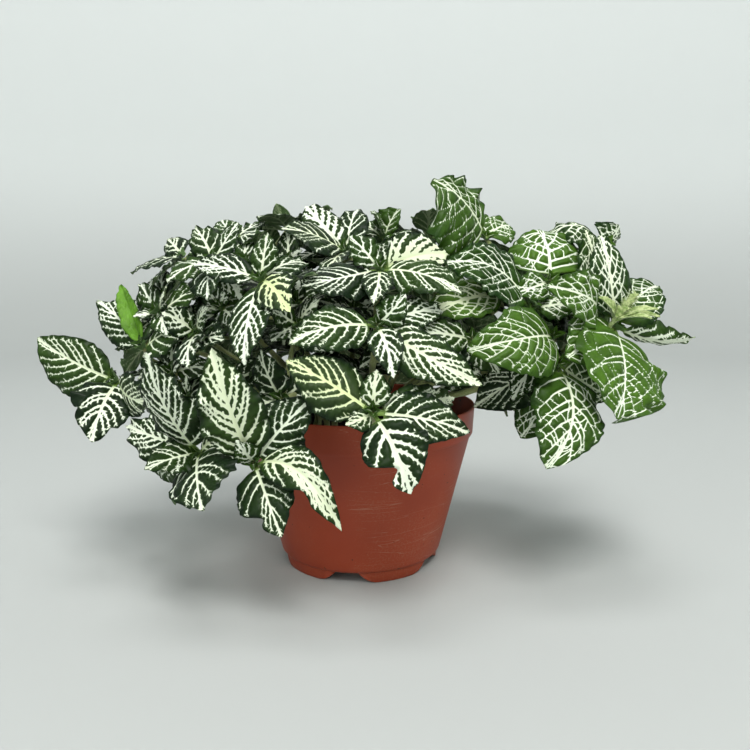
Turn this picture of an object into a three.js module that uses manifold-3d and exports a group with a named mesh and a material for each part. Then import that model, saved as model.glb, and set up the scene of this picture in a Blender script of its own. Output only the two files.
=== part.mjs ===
// Potted nerve plant (Fittonia) in a small plastic nursery pot, in millimetres, +Z up.
// The origin is the middle of the footprint, on the surface that the pot stands on.
// Main shoots are two pieces each, a stem rooted in the soil and the rosette of leaves at its end.
// Side shoots are one piece each, a thin stem with its leaves.

import * as THREE from 'three';
import { mergeVertices } from 'three/addons/utils/BufferGeometryUtils.js';
import Module from 'manifold-3d';

const wasm = await Module();
wasm.setup();

// ---------- driving dimensions ----------

const GAP = 0.3; // clearance between pieces that touch
const SIDES_ROUND = 32; // flats around the pot and the soil

const POT = {
  height: 60, // surface to rim
  rimRadius: 43,
  bandRadius: 42.3, // outside of the rim band at its lower edge
  bandHeight: 10.5,
  bandStep: 0.5, // how far the band stands proud of the wall below it
  baseRadius: 30.5,
  baseBevel: 1,
  wall: 1.1,
  floorThickness: 1.3,
};

const FOOT = { count: 5, height: 4, arc: 55, outerRadius: 29.2, width: 2.6, firstCentre: -63 };
const DRAIN = { count: 5, radius: 3.2, ringRadius: 17, centreRadius: 3.6 };
const SOIL = { edgeHeight: 50.5, crown: 1.6, socketDepth: 4 };

const STEM = { radius: 1.15, sideRadius: 0.8, sides: 6, steps: 6, overRim: 9 };
const HUB_RADIUS = 2;
const HUB_SINK = 0.4; // leaves start inside the hub, at this share of its radius
const LEAF = {
  thickness: 0.8, // at the midrib
  petioleShare: 0.1, // part of the leaf's length that is stalk
  petioleHalfWidth: 0.75,
  petioleThickness: 1.2,
  arch: 0.07, // bow of the midrib towards the upper side, as a share of the length
  lift: 0.14, // rise of the edges above the midrib, as a share of the half width
  slimness: 0.56, // width over length, where the plan doesn't say
};
// The growing rule of a rosette: how far each pair opens from its facing, and its relative size
const LEAF_PAIRS = [{ open: 96, share: 1 }, { open: 78, share: 0.86 }, { open: 48, share: 0.5 }];
// Blade outline: share of the blade's length, and half width as a share of the widest
const BLADE_OUTLINE = [[0.14, 0.66], [0.42, 1], [0.76, 0.66]];

// ---------- planting plan ----------
// node: where the rosette sits. face: the way it opens. root: where the stem enters the soil.
// leaves: tip x, y, z, blade width, and for some a roll about the leaf's own axis in degrees.

const MAIN_SHOOTS = [
  { name: 'front_centre', node: [5, -60, 68], face: [0, -0.9, 0.45], root: [3, -25], leaves: [
    [-21, -60, 84, 16], [6, -58, 81, 8], [34, -60, 62, 13], [16, -70, 46, 17], [-3, -67, 66, 6],
    [31, -45, 70, 11]] },
  { name: 'front_left', node: [-32, -54, 51], face: [-0.1, -0.9, 0.4], root: [-12, -24], leaves: [
    [-42, -64, 88, 17], [-13, -60, 73, 16], [-22, -70, 33, 16], [-4, -73, 36, 16, 10],
    [-36, -62, 60, 7]] },
  { name: 'left_front', node: [-51, -46, 52], face: [-0.4, -0.85, 0.35], root: [-21, -17], leaves: [
    [-63, -58, 86, 17], [-45, -70, 41, 16], [-64, -61, 51, 12], [-80, -28, 57, 15],
    [-74, -20, 44, 13], [-40, -52, 60, 7]] },
  { name: 'left_tip', node: [-89, -8, 69], face: [-0.5, -0.75, 0.45], root: [-25, -6], leaves: [
    [-119, -5, 85, 19], [-91, -31, 52, 21, -45], [-68, -36, 67, 13, 30], [-76, 15, 70, 15],
    [-104, 12, 60, 14]] },
  { name: 'left_upper', node: [-77, -14, 82], face: [-0.4, -0.6, 0.7], root: [-18, -7], leaves: [
    [-83, 8, 95, 21, -15], [-97, -2, 98, 13], [-89, -4, 106, 7], [-57, -21, 92, 15],
    [-80, 10, 106, 13]] },
  { name: 'centre', node: [6, -46, 93], face: [0.05, -0.85, 0.5], root: [3, -18], leaves: [
    [-20, -60, 89, 13], [15, -48, 103, 9], [11, -62, 79, 9], [38, -57, 76, 14],
    [28, -36, 97, 10]] },
  { name: 'centre_upper', node: [7, -30, 110], face: [0.05, -0.75, 0.65], root: [3, -11], leaves: [
    [-18, -42, 105, 15], [33, -44, 103, 14], [-3, -28, 121, 11], [14, -22, 121, 8],
    [30, -26, 115, 15, 22], [5, -50, 100, 9]] },
  { name: 'crown', node: [-5, -8, 116], face: [-0.2, -0.5, 0.8], root: [-3, -4], leaves: [
    [-27, -16, 124, 18], [-20, 2, 133, 15], [-1, 8, 132, 12], [-9, -34, 107, 9]] },
  { name: 'centre_left', node: [-31, -38, 107], face: [-0.3, -0.8, 0.55], root: [-10, -14], leaves: [
    [-34, -57, 82, 13], [-20, -55, 98, 12], [-54, -34, 112, 9], [-29, -34, 122, 9],
    [-17, -22, 112, 10]], tip: { node: [-49, -24, 113], leaves: [
    [-47, -44, 101, 14], [-62, -35, 106, 10], [-38, -34, 100, 8], [-41, -20, 126, 9],
    [-57, -15, 124, 10]] } },
  { name: 'far_upper_left', node: [-66, 5, 114], face: [-0.6, -0.2, 0.8], root: [-17, 1], leaves: [
    [-87, 7, 108, 13], [-75, -13, 103, 12], [-53, 3, 121, 9], [-74, 13, 121, 9],
    [-64, 26, 108, 13]] },
  { name: 'right_crown', node: [59, -22, 97], face: [0.1, -0.8, 0.55], root: [15, -7], leaves: [
    [28, -34, 112, 18], [76, -20, 99, 9]], tip: { node: [45, -8, 121], leaves: [
    [26, -21, 140, 24], [56, 7, 126, 13], [41, 8, 123, 13]] } },
  { name: 'right_front', node: [67, -22, 87], face: [0.1, -0.85, 0.5], root: [19, -10], leaves: [
    [35, -44, 82, 20], [52, -30, 66, 13]] },
  { name: 'right_drop', node: [68, -27, 78], face: [0.1, -0.9, 0.4], root: [18, -16], leaves: [
    [60, -50, 48, 22], [56, -26, 52, 16], [40, -22, 62, 16], [88, -20, 66, 15]] },
  { name: 'right_tip', node: [89, -20, 90], face: [0.4, -0.75, 0.5], root: [25, -8], leaves: [
    [83, -46, 63, 31], [69, -38, 83, 13], [119, -16, 86, 10, 50], [85, -15, 120, 16],
    [108, 0, 103, 16]], tip: { node: [90, 4, 118], leaves: [
    [66, 5, 122, 13, -35], [98, 12, 130, 11], [104, 26, 108, 14], [78, 22, 112, 13]] } },
];

// Rosettes that follow the growing rule: reach is the length of the longest leaves, and spin
// turns the pairs about the way the rosette faces
const RULED_SHOOTS = [
  { name: 'back_far_left', node: [-84, 30, 84], face: [-0.65, 0.6, 0.45], root: [-23, 8],
    reach: 30, spin: 20 },
  { name: 'back_left', node: [-56, 48, 66], face: [-0.5, 0.8, 0.35], root: [-18, 16],
    reach: 29, spin: 65 },
  { name: 'back_left_upper', node: [-44, 32, 108], face: [-0.35, 0.6, 0.7], root: [-12, 8],
    reach: 27, spin: 10, tip: { node: [-28, 16, 125], face: [-0.1, 0.3, 0.95], reach: 23, spin: 50 } },
  { name: 'back_centre_left', node: [-22, 52, 84], face: [-0.15, 0.85, 0.5], root: [-8, 17],
    reach: 29, spin: 40 },
  { name: 'back_centre', node: [12, 60, 62], face: [0.1, 0.9, 0.4], root: [3, 22],
    reach: 29, spin: 80 },
  { name: 'back_crown', node: [0, 30, 116], face: [0, 0.5, 0.85], root: [1, 6],
    reach: 25, spin: 30 },
  { name: 'back_centre_right', node: [32, 48, 94], face: [0.2, 0.8, 0.55], root: [10, 14],
    reach: 29, spin: 15, tip: { node: [27, 21, 122], face: [0.15, 0.3, 0.95], reach: 23, spin: 20 } },
  { name: 'back_right', node: [56, 48, 68], face: [0.4, 0.8, 0.4], root: [17, 17],
    reach: 29, spin: 60 },
  { name: 'back_right_upper', node: [62, 26, 104], face: [0.35, 0.6, 0.7], root: [16, 8],
    reach: 28, spin: 75 },
  { name: 'back_far_right', node: [88, 22, 80], face: [0.7, 0.6, 0.4], root: [24, 9],
    reach: 29, spin: 30 },
];

const SIDE_SHOOTS = [
  { name: 'crown_bud', node: [9, 6, 121], face: [0.1, -0.4, 0.9], root: [2, 1], leaves: [
    [4, 1, 131, 10], [15, 5, 132, 10], [-4, 17, 129, 9], [19, -4, 122, 9]] },
  { name: 'top_left', node: [-45, -3, 121], face: [-0.2, -0.4, 0.9], root: [-9, 0], leaves: [
    [-61, -8, 119, 10], [-35, -7, 122, 8], [-52, 7, 128, 9], [-36, 8, 127, 9]] },
  { name: 'inner_left', node: [-55, -27, 89], face: [-0.4, -0.8, 0.5], root: [-16, -13], leaves: [
    [-43, -40, 88, 11], [-54, -43, 79, 10], [-65, -32, 96, 9], [-49, -34, 98, 8]] },
  { name: 'inner_front', node: [-25, -38, 68], face: [-0.2, -0.85, 0.5], root: [-9, -19], leaves: [
    [-31, -43, 85, 10], [-12, -32, 77, 9], [-35, -43, 65, 8]], tip: { node: [-20, -34, 92], leaves: [
    [-28, -45, 100, 8], [-27, -46, 88, 9], [-12, -41, 101, 8], [-8, -42, 84, 9]] } },
  { name: 'right_inner', node: [50, -18, 102], face: [0.1, -0.8, 0.5], root: [11, -5], leaves: [
    [22, -34, 96, 14], [38, -24, 110, 9]] },
  { name: 'right_low', node: [38, -30, 87], face: [0, -0.85, 0.5], root: [10, -17], leaves: [
    [16, -42, 91, 10], [47, -34, 76, 9], [26, -30, 76, 10]] },
  { name: 'right_fan', node: [66, -18, 106], face: [0.1, -0.85, 0.5], root: [20, -3], leaves: [
    [65, -5, 125, 25], [53, -24, 102, 10], [77, 4, 118, 14]] },
  { name: 'right_middle', node: [84, -16, 94], face: [0.2, -0.85, 0.5], root: [23, -2], leaves: [
    [58, -34, 104, 15], [79, -12, 124, 12]] },
];

const FLOWER_SPIKE = { foot: [87, -23, 92], lean: [0.55, -0.15, 0.8], length: 14, radius: 2.4, rows: 5 };

const COLOURS = {
  pot: '#80392b',
  soil: '#3a2a1f',
  stem: '#8a9a63',
  leaf: '#3f6b35',
  bract: '#b9c98c',
};

// ---------- solids ----------

const vec = (point) => new THREE.Vector3(...point);

function solidOf(geometry) {
  geometry.deleteAttribute('normal');
  geometry.deleteAttribute('uv');
  const merged = mergeVertices(geometry, 1e-4);
  const solid = new wasm.Manifold(new wasm.Mesh({
    numProp: 3,
    vertProperties: new Float32Array(merged.attributes.position.array),
    triVerts: new Uint32Array(merged.index.array),
  }));
  return solid;
}

function geometryOf(solid) {
  const mesh = solid.getMesh();
  const geometry = new THREE.BufferGeometry();
  geometry.setAttribute('position', new THREE.BufferAttribute(mesh.vertProperties, 3));
  geometry.setIndex(new THREE.BufferAttribute(mesh.triVerts, 1));
  return geometry;
}

const joined = (solids) => solids.reduce((sum, solid) => sum.add(solid));

function largest(solid) {
  const pieces = solid.decompose();
  return pieces.reduce((best, piece) => (piece.volume() > best.volume() ? piece : best));
}

// The solid with every neighbour's clearance cut out of it, kept as one piece
function trimmed(solid, neighbours) {
  const box = solid.boundingBox();
  const near = neighbours.filter((other) => boxesMeet(box, other.boundingBox()));
  const cut = near.reduce((rest, other) => rest.subtract(other), solid);
  return largest(cut);
}

function boxesMeet(a, b) {
  return [0, 1, 2].every((axis) => a.min[axis] <= b.max[axis] && b.min[axis] <= a.max[axis]);
}

function lathe(profile, sides = SIDES_ROUND) {
  const points = profile.map(([radius, height]) => new THREE.Vector2(radius, height));
  const geometry = new THREE.LatheGeometry(points, sides);
  geometry.rotateX(Math.PI / 2);
  return solidOf(geometry);
}

// An upright round bar, for holes and sockets
function bar(x, y, low, high, radius, sides) {
  const geometry = new THREE.CylinderGeometry(radius, radius, high - low, sides);
  geometry.rotateX(Math.PI / 2);
  geometry.translate(x, y, (low + high) / 2);
  return solidOf(geometry);
}

// ---------- pot and soil ----------

// Radius of the pot's inner wall at a height above its floor
function innerRadius(height) {
  const bandFoot = POT.height - POT.bandHeight;
  const wallTop = POT.bandRadius - POT.bandStep;
  const share = (height - FOOT.height) / (bandFoot - FOOT.height);
  return POT.baseRadius + (wallTop - POT.baseRadius) * share - POT.wall;
}

function footRing() {
  const half = THREE.MathUtils.degToRad(FOOT.arc / 2);
  const inner = FOOT.outerRadius - FOOT.width;
  const sector = new THREE.Shape();
  sector.absarc(0, 0, FOOT.outerRadius, -half, half, false);
  sector.absarc(0, 0, inner, half, -half, true);
  const depth = FOOT.height + POT.floorThickness / 2;
  const feet = [];
  for (let i = 0; i < FOOT.count; i += 1) {
    const foot = new THREE.ExtrudeGeometry(sector, { depth, bevelEnabled: false, curveSegments: 6 });
    foot.rotateZ(THREE.MathUtils.degToRad(FOOT.firstCentre + (i * 360) / FOOT.count));
    feet.push(solidOf(foot));
  }
  return joined(feet);
}

function drainHoles() {
  const low = FOOT.height - 1;
  const high = FOOT.height + POT.floorThickness + 1;
  const holes = [bar(0, 0, low, high, DRAIN.centreRadius, 12)];
  for (let i = 0; i < DRAIN.count; i += 1) {
    const angle = (2 * Math.PI * i) / DRAIN.count;
    const x = DRAIN.ringRadius * Math.cos(angle);
    const y = DRAIN.ringRadius * Math.sin(angle);
    holes.push(bar(x, y, low, high, DRAIN.radius, 10));
  }
  return joined(holes);
}

function potSolid() {
  const bandFoot = POT.height - POT.bandHeight;
  const floor = FOOT.height + POT.floorThickness;
  const shell = lathe([
    [0, FOOT.height],
    [POT.baseRadius - POT.baseBevel, FOOT.height],
    [POT.baseRadius + 0.1, FOOT.height + POT.baseBevel],
    [POT.bandRadius - POT.bandStep, bandFoot],
    [POT.bandRadius, bandFoot + POT.bandStep],
    [POT.rimRadius, POT.height - 0.4],
    [POT.rimRadius - 0.3, POT.height],
    [POT.rimRadius - POT.wall, POT.height],
    [innerRadius(bandFoot), bandFoot],
    [innerRadius(floor), floor],
    [0, floor],
  ]);
  return shell.add(footRing()).subtract(drainHoles());
}

function soilSolid(sockets) {
  const floor = FOOT.height + POT.floorThickness + GAP;
  const edge = SOIL.edgeHeight;
  const crown = edge + SOIL.crown;
  const body = lathe([
    [0, floor],
    [innerRadius(floor) - GAP, floor],
    [innerRadius(edge) - GAP, edge],
    [innerRadius(edge) - 6, edge + SOIL.crown * 0.5],
    [18, crown],
    [0, crown - 0.4],
  ]);
  return sockets.reduce((rest, socket) => rest.subtract(socket), body);
}

// ---------- stems ----------

// A stem leaves the soil upright, passes over the rim where it has to, and ends behind its
// rosette. A side shoot's stem goes on to the middle of its rosette. sink lowers the start.
function stemPath({ node, face, root }, { sink = 0, toNode = false } = {}) {
  const end = vec(node);
  const front = vec(face).normalize();
  const depth = SOIL.socketDepth - GAP + sink;
  const start = new THREE.Vector3(root[0], root[1], SOIL.edgeHeight - depth);
  const rise = start.clone().setZ(SOIL.edgeHeight + STEM.overRim);
  const middle = rise.clone().lerp(end, 0.5);
  const overRim = POT.height + STEM.overRim;
  middle.setZ(Math.max(overRim, (rise.z + end.z) / 2));
  const points = [start, rise];
  if (Math.hypot(end.x, end.y) > 20) points.push(middle);
  const stop = HUB_RADIUS + GAP;
  points.push(end.clone().addScaledVector(front, -4 * stop));
  points.push(toNode ? end : end.clone().addScaledVector(front, -stop));
  return new THREE.CatmullRomCurve3(points);
}

function tube(path, radius, sides = STEM.sides, steps = STEM.steps) {
  const section = new THREE.Shape();
  for (let i = 0; i < sides; i += 1) {
    const angle = (2 * Math.PI * i) / sides;
    const point = [radius * Math.cos(angle), radius * Math.sin(angle)];
    if (i === 0) section.moveTo(...point);
    else section.lineTo(...point);
  }
  return solidOf(new THREE.ExtrudeGeometry(section, { extrudePath: path, steps, bevelEnabled: false }));
}

// ---------- leaves ----------

// Stations along a leaf: share of the whole length, half width and half thickness there
function leafStations(width) {
  const stalk = LEAF.petioleShare;
  return [
    [0, LEAF.petioleHalfWidth, LEAF.petioleThickness / 2],
    [stalk, LEAF.petioleHalfWidth, LEAF.petioleThickness / 2],
    ...BLADE_OUTLINE.map(([share, half]) => (
      [stalk + (1 - stalk) * share, (half * width) / 2, LEAF.thickness / 2])),
  ];
}

// A leaf is a stalk, then a blade with thin raised edges, a thicker midrib and a pointed tip.
// With room it is the leaf's clearance: blunt at the edges and that much larger all round.
function leafSolid({ base, tip, width, face, roll }, room = 0) {
  const axis = tip.clone().sub(base);
  const length = axis.length();
  axis.normalize();
  const up = face.clone().addScaledVector(axis, -face.dot(axis)).normalize();
  up.applyAxisAngle(axis, THREE.MathUtils.degToRad(roll));
  const side = axis.clone().cross(up);
  const bow = (at) => 4 * at * (1 - at) * LEAF.arch * length;
  const place = (at, across, above) => base.clone()
    .addScaledVector(axis, at * length)
    .addScaledVector(side, across)
    .addScaledVector(up, above + bow(at));

  const rings = leafStations(width).map(([at, half, thick]) => {
    const edge = LEAF.lift * half;
    const reach = half + room;
    const top = place(at, 0, thick + room);
    const bottom = place(at, 0, -thick - room);
    if (room === 0) return [place(at, -reach, edge), top, place(at, reach, edge), bottom];
    return [
      place(at, -reach, edge - room), place(at, -reach, edge + room), top,
      place(at, reach, edge + room), place(at, reach, edge - room), bottom,
    ];
  });
  return solidOf(skinOf(rings, place(1 + room / length, 0, 0)));
}

// A closed skin over rings of points, flat at the first ring and ending in a point
function skinOf(rings, end) {
  const size = rings[0].length;
  const points = [...rings.flat(), end];
  const last = (rings.length - 1) * size;
  const faces = [];
  for (let start = 0; start < last; start += size) {
    for (let i = 0; i < size; i += 1) {
      const here = start + i;
      const next = start + ((i + 1) % size);
      faces.push(here, next, next + size, here, next + size, here + size);
    }
  }
  for (let i = 1; i + 1 < size; i += 1) faces.push(0, i + 1, i);
  for (let i = 0; i < size; i += 1) {
    faces.push(last + i, last + ((i + 1) % size), points.length - 1);
  }
  const geometry = new THREE.BufferGeometry();
  const places = points.flatMap((point) => point.toArray());
  geometry.setAttribute('position', new THREE.Float32BufferAttribute(places, 3));
  geometry.setIndex(faces);
  return geometry;
}

// The leaves of one rosette, which each start inside its hub
function leavesOf(rosette) {
  const { node, face, leaves: rows = pairedLeaves(rosette) } = rosette;
  return rows.map(([x, y, z, width, roll = 0]) => {
    const tip = new THREE.Vector3(x, y, z);
    const outward = tip.clone().sub(vec(node)).normalize();
    const base = vec(node).addScaledVector(outward, HUB_RADIUS * HUB_SINK);
    return { base, tip, width, face: vec(face).normalize(), roll };
  });
}

// Three pairs of leaves, each pair at right angles to the one below it and more upright
function pairedLeaves({ node, face, reach, spin }) {
  const front = vec(face).normalize();
  const across = new THREE.Vector3(0, 0, 1).cross(front).normalize();
  const upward = front.clone().cross(across);
  const rows = [];
  LEAF_PAIRS.forEach(({ open, share }, index) => {
    for (const half of [0, 180]) {
      const turn = THREE.MathUtils.degToRad(spin + half + 90 * index);
      const lean = THREE.MathUtils.degToRad(open);
      const direction = across.clone().multiplyScalar(Math.cos(turn) * Math.sin(lean))
        .addScaledVector(upward, Math.sin(turn) * Math.sin(lean))
        .addScaledVector(front, Math.cos(lean));
      const tip = vec(node).addScaledVector(direction, reach * share);
      rows.push([...tip.toArray(), reach * share * LEAF.slimness]);
    }
  });
  return rows;
}

const hubSolid = (node, grow) => {
  const ball = new THREE.OctahedronGeometry(HUB_RADIUS + grow, 0);
  ball.translate(...node);
  return solidOf(ball);
};

// Everything that grows at the end of one stem, with an optional second node above the first
function rosetteSolid(shoot, grow = 0) {
  const leaves = leavesOf(shoot);
  const solids = [hubSolid(shoot.node, grow)];
  if (shoot.tip) {
    leaves.push(...leavesOf({ face: shoot.face, ...shoot.tip }));
    solids.push(hubSolid(shoot.tip.node, grow));
    const twig = new THREE.LineCurve3(vec(shoot.node), vec(shoot.tip.node));
    solids.push(tube(twig, STEM.sideRadius + grow, STEM.sides, 1));
  }
  solids.push(...leaves.map((leaf) => leafSolid(leaf, grow)));
  return joined(solids);
}

// A flower spike: overlapping bracts in rows up a short axis
function flowerSpikeSolid(grow = 0) {
  const { foot, lean, length, radius, rows } = FLOWER_SPIKE;
  const profile = [[0, 0], [0.9 + grow, 0]];
  for (let row = 0; row < rows; row += 1) {
    const low = (length * (row + 0.35)) / rows;
    const size = radius * (1 - (0.55 * row) / rows);
    profile.push([size * 0.55 + grow, low], [size + grow, low + length / rows * 0.5]);
  }
  profile.push([0, length + grow]);
  const points = profile.map(([r, h]) => new THREE.Vector2(r, h));
  const geometry = new THREE.LatheGeometry(points, 8);
  const upright = new THREE.Vector3(0, 1, 0);
  geometry.applyQuaternion(new THREE.Quaternion().setFromUnitVectors(upright, vec(lean).normalize()));
  geometry.translate(...foot);
  return solidOf(geometry);
}

// ---------- the object ----------

const material = (colour, roughness) => (
  new THREE.MeshStandardMaterial({ color: colour, roughness, metalness: 0 }));
const MATERIALS = {
  pot: material(COLOURS.pot, 0.55),
  soil: material(COLOURS.soil, 1),
  stem: material(COLOURS.stem, 0.7),
  leaf: material(COLOURS.leaf, 0.5),
  bract: material(COLOURS.bract, 0.8),
};

function buildPlant() {
  const group = new THREE.Group();
  const addPiece = (name, solid, finish) => {
    const mesh = new THREE.Mesh(geometryOf(solid), finish);
    mesh.name = name;
    group.add(mesh);
  };

  const mainShoots = [...MAIN_SHOOTS, ...RULED_SHOOTS];
  const stemSolid = (shoot) => tube(stemPath(shoot), STEM.radius);
  const sideStemSolid = (shoot) => tube(stemPath(shoot, { toNode: true }), STEM.sideRadius);
  const stemRooms = [
    ...mainShoots.map((shoot) => tube(stemPath(shoot, { sink: GAP }), STEM.radius + GAP)),
    ...SIDE_SHOOTS.map((shoot) => (
      tube(stemPath(shoot, { sink: GAP, toNode: true }), STEM.sideRadius + GAP))),
  ];
  addPiece('pot', potSolid(), MATERIALS.pot);
  addPiece('soil', soilSolid(stemRooms), MATERIALS.soil);

  // Stems come first: they keep their shape, and leaves make way for them
  mainShoots.forEach((shoot, index) => {
    const stem = trimmed(stemSolid(shoot), stemRooms.slice(0, index));
    addPiece(`stem_${shoot.name}`, stem, MATERIALS.stem);
  });
  const taken = [...stemRooms];

  // The space that the pot, its soil and everything in it take up
  taken.push(lathe([
    [0, 0],
    [POT.baseRadius + GAP, 0],
    [POT.rimRadius + GAP, POT.height - POT.bandHeight],
    [POT.rimRadius + GAP, POT.height + GAP],
    [0, POT.height + GAP],
  ]));

  addPiece('flower_spike', trimmed(flowerSpikeSolid(), taken), MATERIALS.bract);
  taken.push(flowerSpikeSolid(GAP));

  const beforeLeaves = taken.length;
  for (const shoot of mainShoots) {
    addPiece(`leaves_${shoot.name}`, trimmed(rosetteSolid(shoot), taken), MATERIALS.leaf);
    taken.push(rosetteSolid(shoot, GAP));
  }
  SIDE_SHOOTS.forEach((shoot, index) => {
    const own = mainShoots.length + index;
    const leaves = trimmed(rosetteSolid(shoot), taken.filter((_, at) => at !== own));
    const olderStems = stemRooms.slice(0, own);
    const stem = trimmed(sideStemSolid(shoot), [...olderStems, ...taken.slice(beforeLeaves)]);
    addPiece(`side_shoot_${shoot.name}`, largest(leaves.add(stem)), MATERIALS.leaf);
    taken.push(rosetteSolid(shoot, GAP));
  });
  return group;
}

const plant = buildPlant();
export default plant;
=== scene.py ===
# The looks of the potted nerve plant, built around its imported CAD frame. Metres, +Z up.
# The planting plan is the CAD model's, in millimetres, with some leaves moved or widened by a few
# millimetres. MM turns millimetres into metres.

import math

import bpy
import numpy as np
from mathutils import Matrix, Vector


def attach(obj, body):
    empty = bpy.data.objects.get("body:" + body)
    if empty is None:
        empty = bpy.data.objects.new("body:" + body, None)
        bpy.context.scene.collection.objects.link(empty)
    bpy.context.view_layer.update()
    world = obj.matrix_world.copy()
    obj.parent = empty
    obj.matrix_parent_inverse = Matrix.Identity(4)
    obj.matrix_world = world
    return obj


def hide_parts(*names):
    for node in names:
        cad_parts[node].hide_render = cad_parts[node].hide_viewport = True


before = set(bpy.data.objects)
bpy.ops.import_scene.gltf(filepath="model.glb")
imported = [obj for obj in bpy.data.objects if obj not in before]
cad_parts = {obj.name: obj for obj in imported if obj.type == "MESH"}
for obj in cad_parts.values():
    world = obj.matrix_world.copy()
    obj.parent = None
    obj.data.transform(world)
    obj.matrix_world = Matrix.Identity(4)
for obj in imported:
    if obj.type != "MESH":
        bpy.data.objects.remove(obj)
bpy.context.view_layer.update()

MM = 0.001
FINE_PITCH = 0.32  # mm between neighbouring points of a blade's mesh, on the leaves seen most
COARSE_PITCH = 0.5  # the same on leaves that the others hide
BROAD_LEAF = 24  # width above which the pitch grows with the blade
DARK, LIGHT = "dark", "light"  # the two leaf forms: dense white veins, and a thin net of veins

# ---------- planting plan (mm) ----------
# A leaf is tip x, y, z and width, then any looks that differ from what its seed gives: roll, bend
# (sideways), arch, lift and cup (section), curl (tip), skew (one half wider), notch (side, place,
# depth), thick (veins), pale, yellow, green, plain (fewer veins) and deep
# (times its colours; below 1 it is painted shade).
# A bare shoot has no leaves with painted shade lower down its stem.

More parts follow.
